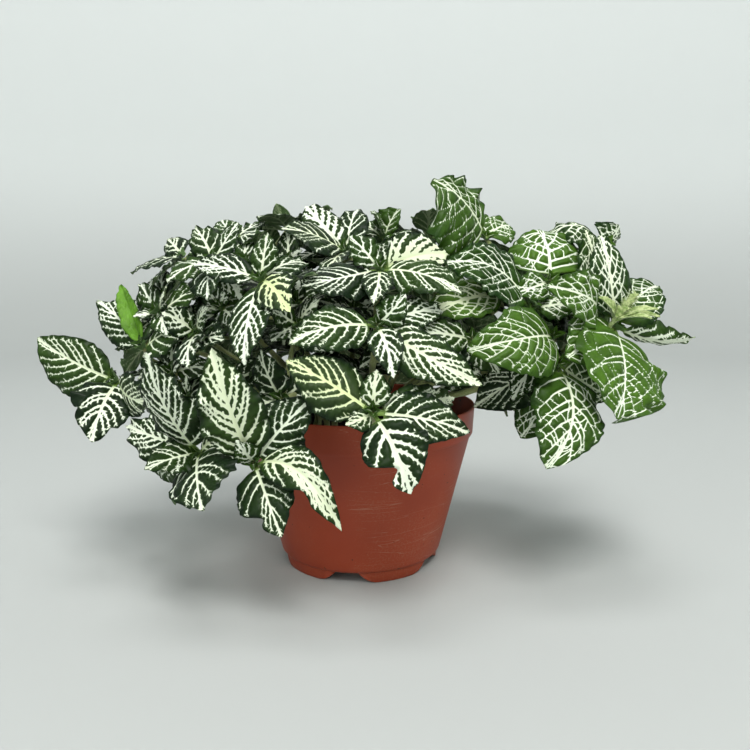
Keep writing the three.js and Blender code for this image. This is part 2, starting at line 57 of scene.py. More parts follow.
MAIN_SHOOTS = {
    "front_centre": dict(bare=True, node=(5, -60, 68), face=(0, -0.9, 0.45), root=(3, -25), leaves=[
        (-21, -60, 84, 18, dict(yellow=0.9, pale=0.15)),
        (6, -58, 81, 9),
        (34, -60, 62, 15, dict(yellow=0.2)),
        (16, -70, 46, 19, dict(pale=0.9, notch=(1, 0.66, 0.8))),
        (-3, -67, 66, 7, dict(yellow=0.4)),
        (31, -45, 70, 12, dict(pale=0.3))]),
    "front_left": dict(bare=True, node=(-32, -54, 51), face=(-0.1, -0.9, 0.4), root=(-12, -24), leaves=[
        (-42, -64, 88, 19, dict(pale=0.8, yellow=0.4)),
        (-13, -60, 73, 17),
        (-22, -70, 33, 18, dict(notch=(1, 0.7, 0.5))),
        (-5, -73, 36, 13, dict(roll=6, pale=0.6, bend=-0.2, arch=0.2, curl=0.3, notch=(1, 0.6, 0.45))),
        (-36, -62, 60, 8)]),
    "left_front": dict(bare=True, node=(-51, -46, 52), face=(-0.4, -0.85, 0.35), root=(-21, -17), leaves=[
        (-63, -58, 86, 19, dict(yellow=0.1)),
        (-45, -70, 41, 24, dict(skew=-0.1, roll=-8)),
        (-64, -61, 51, 13),
        (-80, -28, 57, 16, dict(pale=0.4)),
        (-74, -20, 44, 14, dict(pale=0.2)),
        (-40, -52, 60, 8)]),
    "left_tip": dict(bare=True, node=(-89, -8, 69), face=(-0.5, -0.75, 0.45), root=(-25, -6), leaves=[
        (-119, -5, 85, 20, dict(yellow=0.25, green=0.6, skew=-0.15)),
        (-91, -31, 52, 22, dict(roll=-45, pale=0.55, notch=(1, 0.6, 0.3))),
        (-68, -36, 67, 14, dict(roll=30)),
        (-76, 15, 70, 15),
        (-104, 12, 60, 15)]),
    "left_upper": dict(bare=True, node=(-77, -14, 82), face=(-0.4, -0.6, 0.7), root=(-18, -7), leaves=[
        (-83, 5, 94, 24, dict(yellow=0.7, pale=0.35, arch=0.16, roll=-8, lift=0.15)),
        (-97, -2, 98, 14, dict(pale=0.3)),
        (-88, -2, 104, 7, dict(form=LIGHT, plain=0.5, green=1, lift=0.8, deep=2)),
        (-57, -21, 92, 16, dict(yellow=0.3)),
        (-80, 10, 106, 13)]),
    "centre": dict(node=(6, -46, 93), face=(0.05, -0.85, 0.5), root=(3, -18), leaves=[
        (-20, -60, 89, 15),
        (15, -48, 103, 10),
        (11, -62, 79, 10),
        (38, -57, 76, 15, dict(pale=0.45, yellow=0.3)),
        (28, -36, 97, 12, dict(pale=0.3))]),
    "centre_upper": dict(node=(7, -30, 110), face=(0.05, -0.75, 0.65), root=(3, -11), leaves=[
        (-18, -42, 105, 17),
        (33, -44, 103, 16, dict(yellow=0.2)),
        (-3, -28, 121, 12),
        (14, -22, 121, 9),
        (30, -26, 115, 17, dict(pale=2, yellow=0.5, roll=22)),
        (5, -50, 100, 10)]),
    "crown": dict(node=(-5, -8, 116), face=(-0.2, -0.5, 0.8), root=(-3, -4), leaves=[
        (-27, -16, 124, 20, dict(yellow=0.3)),
        (-20, 2, 133, 17, dict(pale=1.3, cup=0.8)),
        (-1, 8, 132, 13),
        (-9, -34, 107, 10)]),
    "centre_left": dict(node=(-31, -38, 107), face=(-0.3, -0.8, 0.55), root=(-10, -14), leaves=[
        (-34, -57, 82, 14),
        (-20, -55, 98, 13, dict(pale=0.9, yellow=1)),
        (-54, -34, 112, 10),
        (-29, -34, 122, 10),
        (-17, -22, 112, 11)], tip=dict(node=(-49, -24, 113), leaves=[
            (-47, -44, 101, 15),
            (-62, -35, 106, 11),
            (-38, -34, 100, 9, dict(pale=0.7)),
            (-41, -20, 126, 10),
            (-57, -15, 124, 11)])),
    "far_upper_left": dict(node=(-66, 5, 114), face=(-0.6, -0.2, 0.8), root=(-17, 1), leaves=[
        (-87, 7, 108, 14),
        (-75, -13, 103, 13),
        (-53, 3, 121, 10),
        (-74, 13, 121, 10),
        (-64, 26, 108, 14)]),
    "right_crown": dict(node=(59, -22, 97), face=(0.1, -0.8, 0.55), root=(15, -7), form=LIGHT, leaves=[
        (28, -34, 112, 20, dict(bend=0.16)),
        (76, -20, 99, 10)], tip=dict(node=(45, -8, 121), leaves=[
            (25, -21, 140, 30, dict(bend=0.06, skew=-0.4, green=0.5)),
            (56, 7, 126, 14),
            (41, 8, 123, 14)])),
    "right_front": dict(
        bare=True, node=(67, -22, 87), face=(0.1, -0.85, 0.5), root=(19, -10), form=LIGHT, leaves=[
        (35, -44, 85, 24, dict(green=0.8, notch=(1, 0.7, 0.15), arch=0.2)),
        (52, -30, 66, 14, dict(form=DARK))]),
    "right_drop": dict(
        bare=True, node=(68, -27, 78), face=(0.1, -0.9, 0.4), root=(18, -16), form=LIGHT, leaves=[
        (60, -50, 48, 24, dict(bend=-0.14, notch=(-1, 0.3, 0.25), green=0.5)),
        (56, -26, 52, 18, dict(green=0.35)),
        (40, -22, 62, 18, dict(form=DARK)),
        (88, -20, 66, 16, dict(green=0.3))]),
    "right_tip": dict(node=(89, -20, 90), face=(0.4, -0.75, 0.5), root=(25, -8), form=LIGHT, leaves=[
        (83, -46, 63, 37, dict(green=1)),
        (68, -38, 82, 20, dict(green=0.7)),
        (119, -16, 86, 9, dict(roll=75, pale=0.3, cup=0.9, form=DARK)),
        (84, -14, 122, 17, dict(green=0.05)),
        (109, -4, 104, 19, dict(green=0.3, roll=-20))], tip=dict(node=(90, 4, 118), leaves=[
            (65, 0, 119, 17, dict(roll=30, arch=0.36, green=0.05, lift=0, cup=0.6)),
            (97, 6, 126, 13, dict(roll=30, cup=0.8, green=0.1)),
            (104, 26, 108, 15),
            (78, 22, 112, 14)])),
}

RULED_SHOOTS = {
    "back_far_left": dict(node=(-84, 30, 84), face=(-0.65, 0.6, 0.45), root=(-23, 8), reach=30, spin=20),
    "back_left": dict(node=(-56, 48, 66), face=(-0.5, 0.8, 0.35), root=(-18, 16), reach=29, spin=65),
    "back_left_upper": dict(
        node=(-44, 32, 108), face=(-0.35, 0.6, 0.7), root=(-12, 8), reach=27, spin=10,
        tip=dict(node=(-28, 16, 125), face=(-0.1, 0.3, 0.95), reach=23, spin=50)),
    "back_centre_left": dict(
        node=(-22, 52, 84), face=(-0.15, 0.85, 0.5), root=(-8, 17), reach=29, spin=40),
    "back_centre": dict(node=(12, 60, 62), face=(0.1, 0.9, 0.4), root=(3, 22), reach=29, spin=80),
    "back_crown": dict(node=(0, 30, 116), face=(0, 0.5, 0.85), root=(1, 6), reach=25, spin=30),
    "back_centre_right": dict(
        node=(32, 48, 94), face=(0.2, 0.8, 0.55), root=(10, 14), reach=29, spin=15,
        tip=dict(node=(27, 21, 122), face=(0.15, 0.3, 0.95), reach=23, spin=20)),
    "back_right": dict(
        node=(56, 48, 68), face=(0.4, 0.8, 0.4), root=(17, 17), reach=29, spin=60, form=LIGHT),
    "back_right_upper": dict(
        node=(62, 26, 104), face=(0.35, 0.6, 0.7), root=(16, 8), reach=28, spin=75, form=LIGHT),
    "back_far_right": dict(
        node=(88, 22, 80), face=(0.7, 0.6, 0.4), root=(24, 9), reach=29, spin=30, form=LIGHT),
}

SIDE_SHOOTS = {
    "crown_bud": dict(node=(9, 6, 121), face=(0.1, -0.4, 0.9), root=(2, 1), leaves=[
        (4, 1, 131, 11, dict(green=0.9)),
        (15, 5, 132, 12, dict(green=1.2, plain=0.12, lift=0.6)),
        (-4, 17, 129, 10),
        (19, -4, 122, 10)]),
    "top_left": dict(node=(-45, -3, 121), face=(-0.2, -0.4, 0.9), root=(-9, 0), leaves=[
        (-61, -8, 119, 11),
        (-35, -7, 122, 9),
        (-52, 7, 128, 10),
        (-36, 8, 127, 10)]),
    "inner_left": dict(node=(-55, -27, 89), face=(-0.4, -0.8, 0.5), root=(-16, -13), leaves=[
        (-43, -40, 88, 12),
        (-54, -43, 79, 11, dict(pale=0.6)),
        (-65, -32, 96, 10),
        (-49, -34, 98, 9)]),
    "inner_front": dict(node=(-25, -38, 68), face=(-0.2, -0.85, 0.5), root=(-9, -19), leaves=[
        (-31, -43, 85, 11),
        (-12, -32, 77, 10),
        (-35, -43, 65, 9)], tip=dict(node=(-20, -34, 92), leaves=[
            (-28, -45, 100, 9),
            (-27, -46, 88, 10),
            (-12, -41, 101, 9),
            (-8, -42, 84, 10)])),
    "right_inner": dict(node=(50, -18, 102), face=(0.1, -0.8, 0.5), root=(11, -5), form=LIGHT, leaves=[
        (22, -34, 96, 15, dict(thick=1.5, yellow=0.5, green=1)),
        (38, -24, 110, 10)]),
    "right_low": dict(bare=True, node=(38, -30, 87), face=(0, -0.85, 0.5), root=(10, -17), leaves=[
        (16, -42, 91, 11),
        (47, -34, 76, 10),
        (26, -30, 76, 11)]),
    "right_fan": dict(node=(66, -18, 106), face=(0.1, -0.85, 0.5), root=(20, -3), form=LIGHT, leaves=[
        (65, -3, 124, 28, dict(pale=0.25, green=1, thick=1.3, bend=0.05)),
        (53, -24, 102, 11),
        (77, 4, 118, 15)]),
    "right_middle": dict(node=(84, -16, 94), face=(0.2, -0.85, 0.5), root=(23, -2), form=LIGHT, leaves=[
        (62, -34, 105, 18, dict(green=0.8, arch=0.2, roll=-15)),
        (79, -12, 124, 13, dict(green=0.1))]),
}

# Leafy side twigs inside the plant. Each springs from the stem of the shoot it is named after.
INNER_ROSETTES = {
    "far_upper_left": [dict(node=(-72, -4, 98), face=(-0.5, -0.6, 0.6), reach=17, spin=30),
                       dict(node=(-62, -6, 88), face=(-0.3, -0.8, 0.5), reach=18, spin=75),
                       dict(node=(-76, 8, 96), face=(-0.6, -0.3, 0.7), reach=17, spin=0),
                       dict(node=(-54, 2, 108), face=(-0.2, -0.4, 0.9), reach=17, spin=70)],
    "top_left": [dict(node=(-40, -12, 112), face=(-0.1, -0.6, 0.8), reach=15, spin=15),
                 dict(node=(-50, -8, 96), face=(-0.3, -0.8, 0.5), reach=18, spin=50)],
    "left_upper": [dict(node=(-66, -18, 74), face=(-0.3, -0.8, 0.5), reach=16, spin=10),
                   dict(node=(-72, -10, 94), face=(-0.4, -0.7, 0.6), reach=19, spin=50)],
    "left_front": [dict(node=(-44, -26, 70), face=(-0.2, -0.9, 0.4), reach=17, spin=35),
                   dict(node=(-60, -22, 66), face=(-0.3, -0.8, 0.5), reach=16, spin=80)],
    "centre_left": [dict(node=(-22, -16, 98), face=(-0.1, -0.8, 0.6), reach=17, spin=80)],
    "crown": [dict(node=(-14, 4, 116), face=(-0.1, -0.4, 0.9), reach=15, spin=45),
              dict(node=(-27, 4, 112), face=(-0.1, -0.7, 0.7), reach=17, spin=10),
              dict(node=(-2, -14, 96), face=(0, -0.9, 0.4), reach=18, spin=5)],
    "crown_bud": [dict(node=(20, 2, 110), face=(0.2, -0.5, 0.8), reach=16, spin=60)],
    "centre": [dict(node=(14, -26, 84), face=(0.2, -0.9, 0.4), reach=16, spin=25)],
    "right_crown": [dict(node=(48, -4, 104), face=(0.1, -0.6, 0.8), reach=16, spin=40)],
    "right_middle": [dict(node=(66, 2, 94), face=(0.1, -0.8, 0.6), reach=18, spin=75)],
    "right_low": [dict(node=(44, -14, 74), face=(0.2, -0.9, 0.3), reach=17, spin=20)],
}

HUB_RADIUS = 2.0
HUB_SINK = 0.4  # leaves start inside the growing point, at this share of its radius
FULLNESS = 1.08  # real blades over the widths in the plan
GAP = 0.3
SLIMNESS = 0.58  # width over length of a leaf that follows the growing rule
LEAF_PAIRS = [(96, 1.0), (78, 0.86), (48, 0.5)]  # opening in degrees and size of each pair

# ---------- small helpers ----------

def unit(vector):
    return np.asarray(vector, float) / np.linalg.norm(vector)


def smooth(low, high, value):
    t = np.clip((value - low) / (high - low), 0, 1)
    return t * t * (3 - 2 * t)


def turned(vector, axis, degrees):
    return np.array(Matrix.Rotation(math.radians(degrees), 3, Vector(axis)) @ Vector(vector))


def waves(rng, values, count, cycles):
    """A smooth irregular ripple over 0 to 1: count sines around the given number of cycles."""
    total = np.zeros_like(values)
    for _ in range(count):
        speed = cycles * rng.uniform(0.7, 1.4)
        total += np.sin(2 * math.pi * (speed * values + rng.random())) / count
    return total


# ---------- veins ----------

class Veins:
    """Tapered line segments in the plane of a blade, in mm, that a distance is measured to."""

    def __init__(self):
        self.rows = []

    def line(self, points, start, end):
        """A polyline whose half width goes from start to end."""
        points = np.asarray(points, float)
        share = np.linspace(0, 1, len(points))
        widths = start + (end - start) * share
        for i in range(len(points) - 1):
            self.rows.append((*points[i], *points[i + 1], widths[i], widths[i + 1]))

    def distance(self, x, y):
        """Distance to the edge of the nearest vein, negative inside it."""
        table = np.array(self.rows, np.float32).T[:, None, :]
        ax, ay, bx, by, wide_a, wide_b = table
        points_x = x.astype(np.float32).reshape(-1, 1)
        points_y = y.astype(np.float32).reshape(-1, 1)
        dx, dy = bx - ax, by - ay
        along = ((points_x - ax) * dx + (points_y - ay) * dy) / (dx * dx + dy * dy + 1e-9)
        along = np.clip(along, 0, 1)
        gap = np.hypot(points_x - ax - along * dx, points_y - ay - along * dy)
        edge = gap - (wide_a + (wide_b - wide_a) * along)
        return edge.min(1).reshape(x.shape)


def bezier(start, control, end, count=9):
    t = np.linspace(0, 1, count)[:, None]
    return (1 - t) ** 2 * np.array(start) + 2 * t * (1 - t) * np.array(control) + t ** 2 * np.array(end)


def grow_veins(rng, length, stations, edges, form, thick):
    """Midrib, arched side veins, and the spurs and links between them, for one blade."""
    veins = Veins()
    light = form == LIGHT
    midrib_x = np.linspace(0, 0.97, 12) * length
    veins.line(np.stack([midrib_x, np.zeros(12)], 1), 0.4 * thick, 0.08 * thick)
    count = max(4, int(round(0.86 * length / VEIN_SPACING[form])))
    for side in (-1, 1):
        branches = []
        for k in range(count):
            start_u = 0.01 + 0.84 * (k + 0.5 * (side > 0) + rng.uniform(-0.2, 0.2)) / count
            if start_u > 0.9:
                continue
            reach = (0.19 + 0.2 * min(1, start_u / 0.2)) * (1 - 0.5 * start_u)
            end_u = min(0.975, start_u + reach * rng.uniform(0.9, 1.12))
            rim = float(np.interp(end_u, stations, edges[side][:-1]))
            start = (start_u * length, 0.0)
            end = (end_u * length, side * max(0.3, rim - rng.uniform(0.75, 1.15)))
            control = (start[0] + 0.36 * (end[0] - start[0]), 0.66 * end[1])
            path = bezier(start, control, end)
            path[1:-1] += rng.normal(0, 0.09, (7, 2))
            branches.append(path)
            veins.line(path, (0.2 if light else 0.22) * thick, 0.02)
            add_fork(veins, rng, path, thick)
        if light:
            add_net(veins, rng, branches, thick)
        else:
            add_spurs(veins, rng, branches, thick)
    return veins


def turned_flat(direction, angle):
    c, s = math.cos(angle), math.sin(angle)
    return np.array([c * direction[0] - s * direction[1], s * direction[0] + c * direction[1]])


def add_fork(veins, rng, path, thick):
    """A side vein ends in short twigs that spread towards the margin."""
    direction = unit(path[-1] - path[-2])
    for turn, place in ((-0.6, -2), (0.6, -2), (0.7, -3)):
        twig = turned_flat(direction, turn * rng.uniform(0.6, 1.3))
        start = path[place] + 0.5 * (path[place + 1] - path[place])
        veins.line([start, start + twig * rng.uniform(0.7, 1.3)], 0.04 * thick, 0.0)


def add_spurs(veins, rng, branches, thick):
    """Short pointed spurs on both flanks of each side vein, which seldom reach the next vein."""
    for path in branches:
        steps = np.linalg.norm(np.diff(path, axis=0), axis=1)
        travelled = np.concatenate([[0], np.cumsum(steps)])
        at = rng.uniform(0.7, 1.3)
        flank = rng.choice((-1, 1))
        while at < travelled[-1] - 0.3:
            share = np.interp(at, travelled, np.linspace(0, 1, len(path)))
            point = point_along(path, share)
            direction = unit(point_along(path, share + 0.05) - point_along(path, share - 0.05))
            spur = turned_flat(direction, flank * rng.uniform(0.5, 1.0))
            reach = rng.uniform(0.5, 1.1) if rng.random() > 0.15 else 1.7
            veins.line([point, point + spur * reach], 0.06 * thick, 0.0)
            at += rng.uniform(0.7, 1.4)
            flank = -flank


def add_net(veins, rng, branches, thick):
    """Kinked links from each side vein to the next, which close the net, and some spurs."""
    for lower, upper in zip(branches, branches[1:]):
        for share in (0.2, 0.38, 0.55, 0.72, 0.95):
            if rng.random() < 0.2:
                continue
            a = point_along(lower, share + rng.uniform(-0.1, 0.1))
            b = point_along(upper, share - 0.12 + rng.uniform(-0.13, 0.13))
            middle = (a + b) / 2 + rng.normal(0, 0.5, 2)
            veins.line([a, middle, b], 0.06 * thick, 0.04 * thick)
            if rng.random() < 0.5:
                veins.line([middle, middle + rng.normal(0, 0.75, 2)], 0.04 * thick, 0.0)
    for path in branches:
        for share in (0.3, 0.55, 0.75):
            a = point_along(path, share + rng.uniform(-0.1, 0.1))
            veins.line([a, a + rng.normal(0, 0.65, 2)], 0.06 * thick, 0.0)


def point_along(path, share):
    place = float(np.clip(share, 0, 1)) * (len(path) - 1)
    i = min(int(place), len(path) - 2)
    return path[i] + (place - i) * (path[i + 1] - path[i])


# ---------- leaves ----------

STALK = 0.08  # part of a leaf's length that is stalk
STALK_HALF = 0.62  # mm
STALK_THICK = 1.0  # mm
BLADE_THICK = 0.3  # mm
RIB_THICK = 0.75  # mm, the midrib under the blade
RIB_HALF = 0.55  # mm
GROOVE = 0.22  # mm, depth of the midrib's furrow
VEIN_SPACING = {DARK: 3.3, LIGHT: 3.9}  # mm along the midrib
PUFF = {DARK: 0.28, LIGHT: 0.46}  # mm that the tissue swells between veins
OUTLINE_POWERS = {DARK: (0.58, 0.98), LIGHT: (0.44, 0.78)}  # towards the base and towards the tip
NOTCH_SPREAD = 0.1

GREENS = {  # linear colours from the darkest leaves to the freshest
    DARK: ((0.0035, 0.013, 0.003), (0.028, 0.07, 0.006)),
    LIGHT: ((0.009, 0.034, 0.003), (0.06, 0.14, 0.011)),
}
WHITE_VEIN = np.array((0.78, 0.84, 0.7))
YELLOW_VEIN = np.array((0.68, 0.77, 0.4))
STALK_GREEN = np.array((0.17, 0.27, 0.06))
UNDERSIDE = np.array((0.16, 0.26, 0.11))


def outline(u, form):
    """Half width along the blade, as a share of the widest: round at the base, pointed at the tip."""
    a, b = OUTLINE_POWERS[form]
    peak = a / (a + b)
    top = peak ** a * (1 - peak) ** b
    u = np.clip(u, 0, 1)
    return u ** a * (1 - u) ** b / top


def leaf_looks(rng, form, extra):
    """The seeded character of one leaf, with the plan's own values on top."""
    looks = dict(
        form=form, roll=rng.uniform(-6, 6), bend=rng.uniform(-0.06, 0.06),
        arch=rng.uniform(0.05, 0.11), lift=rng.uniform(0.12, 0.34), cup=rng.uniform(0.2, 0.5),
        ruffle=rng.uniform(0.03, 0.1), curl=rng.uniform(0, 0.1), twist=rng.uniform(-9, 9),
        thick=rng.uniform(0.88, 1.15) * (0.92 if form == LIGHT else 1),
        pale=max(0, rng.normal(0.02, 0.16)), yellow=max(0, rng.normal(0.06, 0.14)),
        green=rng.random() ** 1.3 * (0.7 if form == DARK else 0.9), notch=None,
        skew=rng.uniform(-0.06, 0.06), plain=0.0, deep=1.0)
    looks.update(extra)
    return looks


def leaf_steps(length, width, pitch):
    """Places of the grid's rows along a leaf and of its columns across, closer at the ends."""
    rows = max(14, int(length / pitch))
    columns = max(9, int(width / pitch)) | 1
    t = np.linspace(0, 1, rows + 1)
    v = np.linspace(-1, 1, columns)
    return 0.55 * t + 0.45 * (1 - np.cos(math.pi * t)) / 2, np.sign(v) * (1 - (1 - np.abs(v)) ** 1.15)


def leaf_edges(rng, u, width, looks):
    """Half width at each row, for each half of the blade (-1 and 1)."""
    edges = {}
    for side in (-1, 1):
        half = outline(u, looks["form"]) * width / 2
        half *= 1 + 0.02 * waves(rng, u, 2, 9) + 0.03 * waves(rng, u, 2, 2.5)
        half *= 1 + side * looks["skew"]
        if looks["notch"] and looks["notch"][0] == side:
            _, place, depth = looks["notch"]
            half *= 1 - depth * np.exp(-((u - place) / NOTCH_SPREAD) ** 2)
        edges[side] = np.sqrt(half ** 2 + (STALK_HALF * (1 - u) ** 4) ** 2)
        edges[side][-1] = 0
    return edges


def leaf_relief(rng, u, V, Y, width, vein, looks):
    """Height of the blade above its own surface line: section, quilting, ruffled edge and furrow."""
    def both_sides(cycles):
        first, second = (waves(rng, u[:, 0], 2, cycles)[:, None] for _ in range(2))
        return np.where(V < 0, first, second)

    margin = 1 - np.abs(V) ** 5
    rise = looks["lift"] * np.abs(Y) - looks["cup"] * Y ** 2 / (width / 2)
    puff = PUFF[looks["form"]] * (1 - np.exp(-(np.maximum(vein, 0) / 0.85) ** 2))
    slow, quick = both_sides(3.5), both_sides(8)
    ruffle = looks["ruffle"] * width * np.abs(V) ** 2.5 * (slow + 0.35 * quick) * smooth(0, 0.2, u)
    groove = GROOVE * np.exp(-(Y / RIB_HALF) ** 2) * (1 - u)
    return rise + puff * margin + ruffle - groove


def leaf_thickness(S, V, Y, u):
    """A round stalk that turns into a thin blade with a rib."""
    lens = np.sqrt(np.clip(1 - V ** 2, 0, 1))
    stalk_part = np.exp(-np.maximum(S - STALK, 0) / 0.035)
    rib = RIB_THICK * np.exp(-(Y / RIB_HALF) ** 2) * (1 - 0.75 * u)
    thick = STALK_THICK * lens * stalk_part + (BLADE_THICK * lens ** 0.5 + rib * lens) * (1 - stalk_part)
    thick[-1] = 0
    return thick


def leaf_sheets(base, axis, length, normal, S, Y, height, thick, looks):
    """The upper and the lower sheet, on a midrib that is bowed, bent sideways and twisted."""
    across = np.cross(axis, normal)
    bow = 4 * S * (1 - S) * looks["arch"] - looks["curl"] * smooth(0.72, 1, S) * 0.25
    swing = 4 * S * (1 - S) * looks["bend"]
    line = base + axis * (S * length)[..., None] + normal * (bow * length)[..., None]
    line = line + across * (swing * length)[..., None]
    angle = np.radians(looks["twist"]) * (S - 0.5)
    side_way = across * np.cos(angle)[..., None] + normal * np.sin(angle)[..., None]
    slope = 4 * (1 - 2 * S) * looks["arch"]
    up_way = normal * np.cos(angle)[..., None] - across * np.sin(angle)[..., None] - axis * slope[..., None]
    up_way = up_way / np.linalg.norm(up_way, axis=-1, keepdims=True)
    surface = line + side_way * Y[..., None]
    upper = surface + up_way * (height + 0.15 * thick)[..., None]
    lower = surface + up_way * (height - 0.85 * thick)[..., None]
    return upper, lower


def leaf_grid(rng, base, tip, width, face, looks, pitch=COARSE_PITCH):
    """One leaf as a closed mesh: points, faces, colour data and a flat layout in mm."""
    axis = tip - base
    length = np.linalg.norm(axis)
    axis = axis / length
    normal = turned(unit(face - axis * np.dot(face, axis)), axis, looks["roll"])

    S, V = np.meshgrid(*leaf_steps(length, width, pitch), indexing="ij")
    u = np.clip((S - STALK) / (1 - STALK), 0, 1)
    edges = leaf_edges(rng, u[:, 0], width, looks)
    Y = V * np.where(V < 0, edges[-1][:, None], edges[1][:, None])
    blade = length * (1 - STALK)
    vein = grow_veins(rng, blade, u[:-1, 0], edges, looks["form"], looks["thick"]).distance(u * blade, Y)
    middle = np.exp(-(Y / (0.34 * width)) ** 2) * smooth(0.02, 0.2, u) * (1 - 0.5 * u)
    vein = vein + looks["plain"] - looks["pale"] * 0.34 * middle

    on_blade = smooth(STALK * 0.9, STALK * 1.25, S)
    height = on_blade * leaf_relief(rng, u, V, Y, width, vein, looks)
    height[-1] = height[-1, V.shape[1] // 2]
    sheets = leaf_sheets(base, axis, length, normal, S, Y, height, leaf_thickness(S, V, Y, u), looks)
    colours = leaf_colours(rng, looks, u, V, S, Y, width)
    return stitch(*sheets, np.where(on_blade > 0.5, vein, 1.0), colours, S * length, Y)


def leaf_colours(rng, looks, u, V, S, Y, width):
    """Tissue and vein colour over the grid."""
    dark, fresh = (np.array(c) for c in GREENS[looks["form"]])
    tone = looks["green"] + 0.14 * waves(rng, u, 3, 2) - 0.4 * smooth(0.72, 1, np.abs(V))
    tone = np.clip(tone + 0.25 * looks["yellow"], 0, 1.1)
    tissue = dark + (fresh - dark) * tone[..., None]
    tissue = tissue + looks["yellow"] * 0.05 * (YELLOW_VEIN - tissue) * (1 - np.abs(V))[..., None]
    cream = looks["yellow"] * np.exp(-(Y / (0.42 * width)) ** 2)
    cream = np.clip(cream + 0.35 * np.exp(-(Y / 0.8) ** 2) * (1 - u) ** 2, 0, 1)
    vein = WHITE_VEIN + (YELLOW_VEIN - WHITE_VEIN) * cream[..., None]
    stalk = 1 - smooth(STALK * 0.8, STALK * 1.6, S)
    tissue = tissue + (STALK_GREEN - tissue) * stalk[..., None]
    vein = vein + (STALK_GREEN * 1.5 - vein) * stalk[..., None]
    # Painted shade: the colours are multiplied by the leaf's brightness factor, which is below 1 on the
    # lower leaves inside the plant.
    return tissue * looks["deep"], vein * looks["deep"]


def stitch(top, bottom, vein, colours, flat_x, flat_y):
    """Joins the two sheets at their shared border and closes the stalk's end."""
    rows, columns = vein.shape
    index_top = np.arange(rows * columns).reshape(rows, columns)
    index_bottom = index_top + rows * columns
    index_bottom[:, 0] = index_top[:, 0]
    index_bottom[:, -1] = index_top[:, -1]
    index_bottom[-1, :] = index_top[-1, :] = index_top[-1, 0]
    points = np.concatenate([top.reshape(-1, 3), bottom.reshape(-1, 3)])

    quads, triangles = [], []
    for index, order in ((index_top, (0, 3, 2, 1)), (index_bottom, (0, 1, 2, 3))):
        corners = [index[:-2, :-1], index[1:-1, :-1], index[1:-1, 1:], index[:-2, 1:]]
        quads.append(np.stack([corners[k].ravel() for k in order], -1))
        ends = [index[-2, :-1], index[-1, :-1], index[-2, 1:]]
        triangles.append(np.stack([ends[k] for k in ((0, 2, 1) if order[1] == 3 else (0, 1, 2))], -1))
    cap = [index_top[0, :-1], index_bottom[0, :-1], index_bottom[0, 1:], index_top[0, 1:]]
    quads.append(np.stack(cap, -1)[1:-1])
    triangles.append([(index_top[0, 0], index_bottom[0, 1], index_top[0, 1]),
                      (index_top[0, -2], index_bottom[0, -2], index_top[0, -1])])
    under = [np.zeros(len(quads[0])), np.ones(len(quads[1]) + len(quads[2])),
             np.zeros(len(triangles[0])), np.ones(len(triangles[1]) + 2)]
    tissue, rib = (np.tile(c.reshape(-1, 3), (2, 1)) for c in colours)
    flat = np.tile(np.stack([flat_x.ravel(), flat_y.ravel()], 1), (2, 1))
    return dict(points=points, quads=np.concatenate(quads), triangles=np.concatenate(triangles),
                under=np.concatenate(under), vein=np.tile(vein.ravel(), 2), tissue=tissue, rib=rib,
                flat=flat)


# ---------- rosettes ----------

def paired_leaves(node, face, reach, spin):
    """Three pairs of leaves, each at right angles to the one below it and more upright."""
    front = unit(face)
    across = unit(np.cross((0, 0, 1), front))
    upward = np.cross(front, across)
    rows = []
    for index, (opening, share) in enumerate(LEAF_PAIRS):
        for half in (0, 180):
            turn = math.radians(spin + half + 90 * index)
            lean = math.radians(opening)
            direction = (across * math.cos(turn) + upward * math.sin(turn)) * math.sin(lean)
            tip = np.array(node) + (direction + front * math.cos(lean)) * reach * share
            rows.append((*tip, reach * share * SLIMNESS))
    return rows


def rosette_leaves(rng, rosette, form):
    """The leaves of one rosette, with the young ones at its heart."""
    node = np.array(rosette["node"], float)
    face = unit(rosette["face"])
    planned = "leaves" in rosette
    rows = rosette["leaves"] if planned else paired_leaves(node, face, rosette["reach"], rosette["spin"])
    pitch = FINE_PITCH if planned else COARSE_PITCH
    made = []
    for x, y, z, width, *extra in rows:
        tip = np.array((x, y, z), float)
        outward = unit(tip - node)
        base = node + outward * HUB_RADIUS * HUB_SINK
        looks = leaf_looks(rng, form, extra[0] if extra else {})
        coarser = max(1, width / BROAD_LEAF)
        made.append(leaf_grid(rng, base, tip, width * FULLNESS, face, looks, pitch * coarser))
    made.extend(heart_leaves(rng, node, face, form))
    return made


def lower_leaves(rng, line, form):
    """Pairs of leaves lower down a stem, which fill the inside of the plant, with shade painted into their
    colours.
    """
    made = []
    turn = rng.uniform(0, 180)
    for back in np.arange(11.0, 50.0, 11.0) * rng.uniform(0.9, 1.1):
        steps = np.linalg.norm(np.diff(line, axis=0), axis=1)
        left = np.concatenate([np.cumsum(steps[::-1])[::-1], [0]])
        spot = int(np.argmin(np.abs(left - back)))
        point = line[spot]
        if spot < 2 or point[2] < POT_HEIGHT + 6 and math.hypot(point[0], point[1]) < 47:
            break
        along = unit(line[spot + 1] - line[spot - 1])
        across = unit(np.cross(along, (0.2, 0.1, 1)))
        upward = np.cross(across, along)
        turn += 90
        for half in (0, 180):
            angle = math.radians(turn + half + rng.uniform(-15, 15))
            outward = across * math.cos(angle) + upward * math.sin(angle)
            direction = unit(outward + along * rng.uniform(0.1, 0.5))
            reach = rng.uniform(15, 22)
            tip = point + direction * reach
            if math.hypot(tip[0], tip[1]) < 46 and tip[2] < POT_HEIGHT + 3:
                continue
            # Painted shade: these inner leaves keep only 0.3 of their colour, with darker tissue and
            # thinner veins.
            painted_shade_looks = dict(green=0.2 * rng.random(), yellow=0, pale=0, thick=0.6, deep=0.3)
            looks = leaf_looks(rng, form, painted_shade_looks)
            face = unit(along + np.array((0, 0, 0.6)))
            made.append(leaf_grid(rng, point, tip, reach * 0.6, face, looks))
    return made


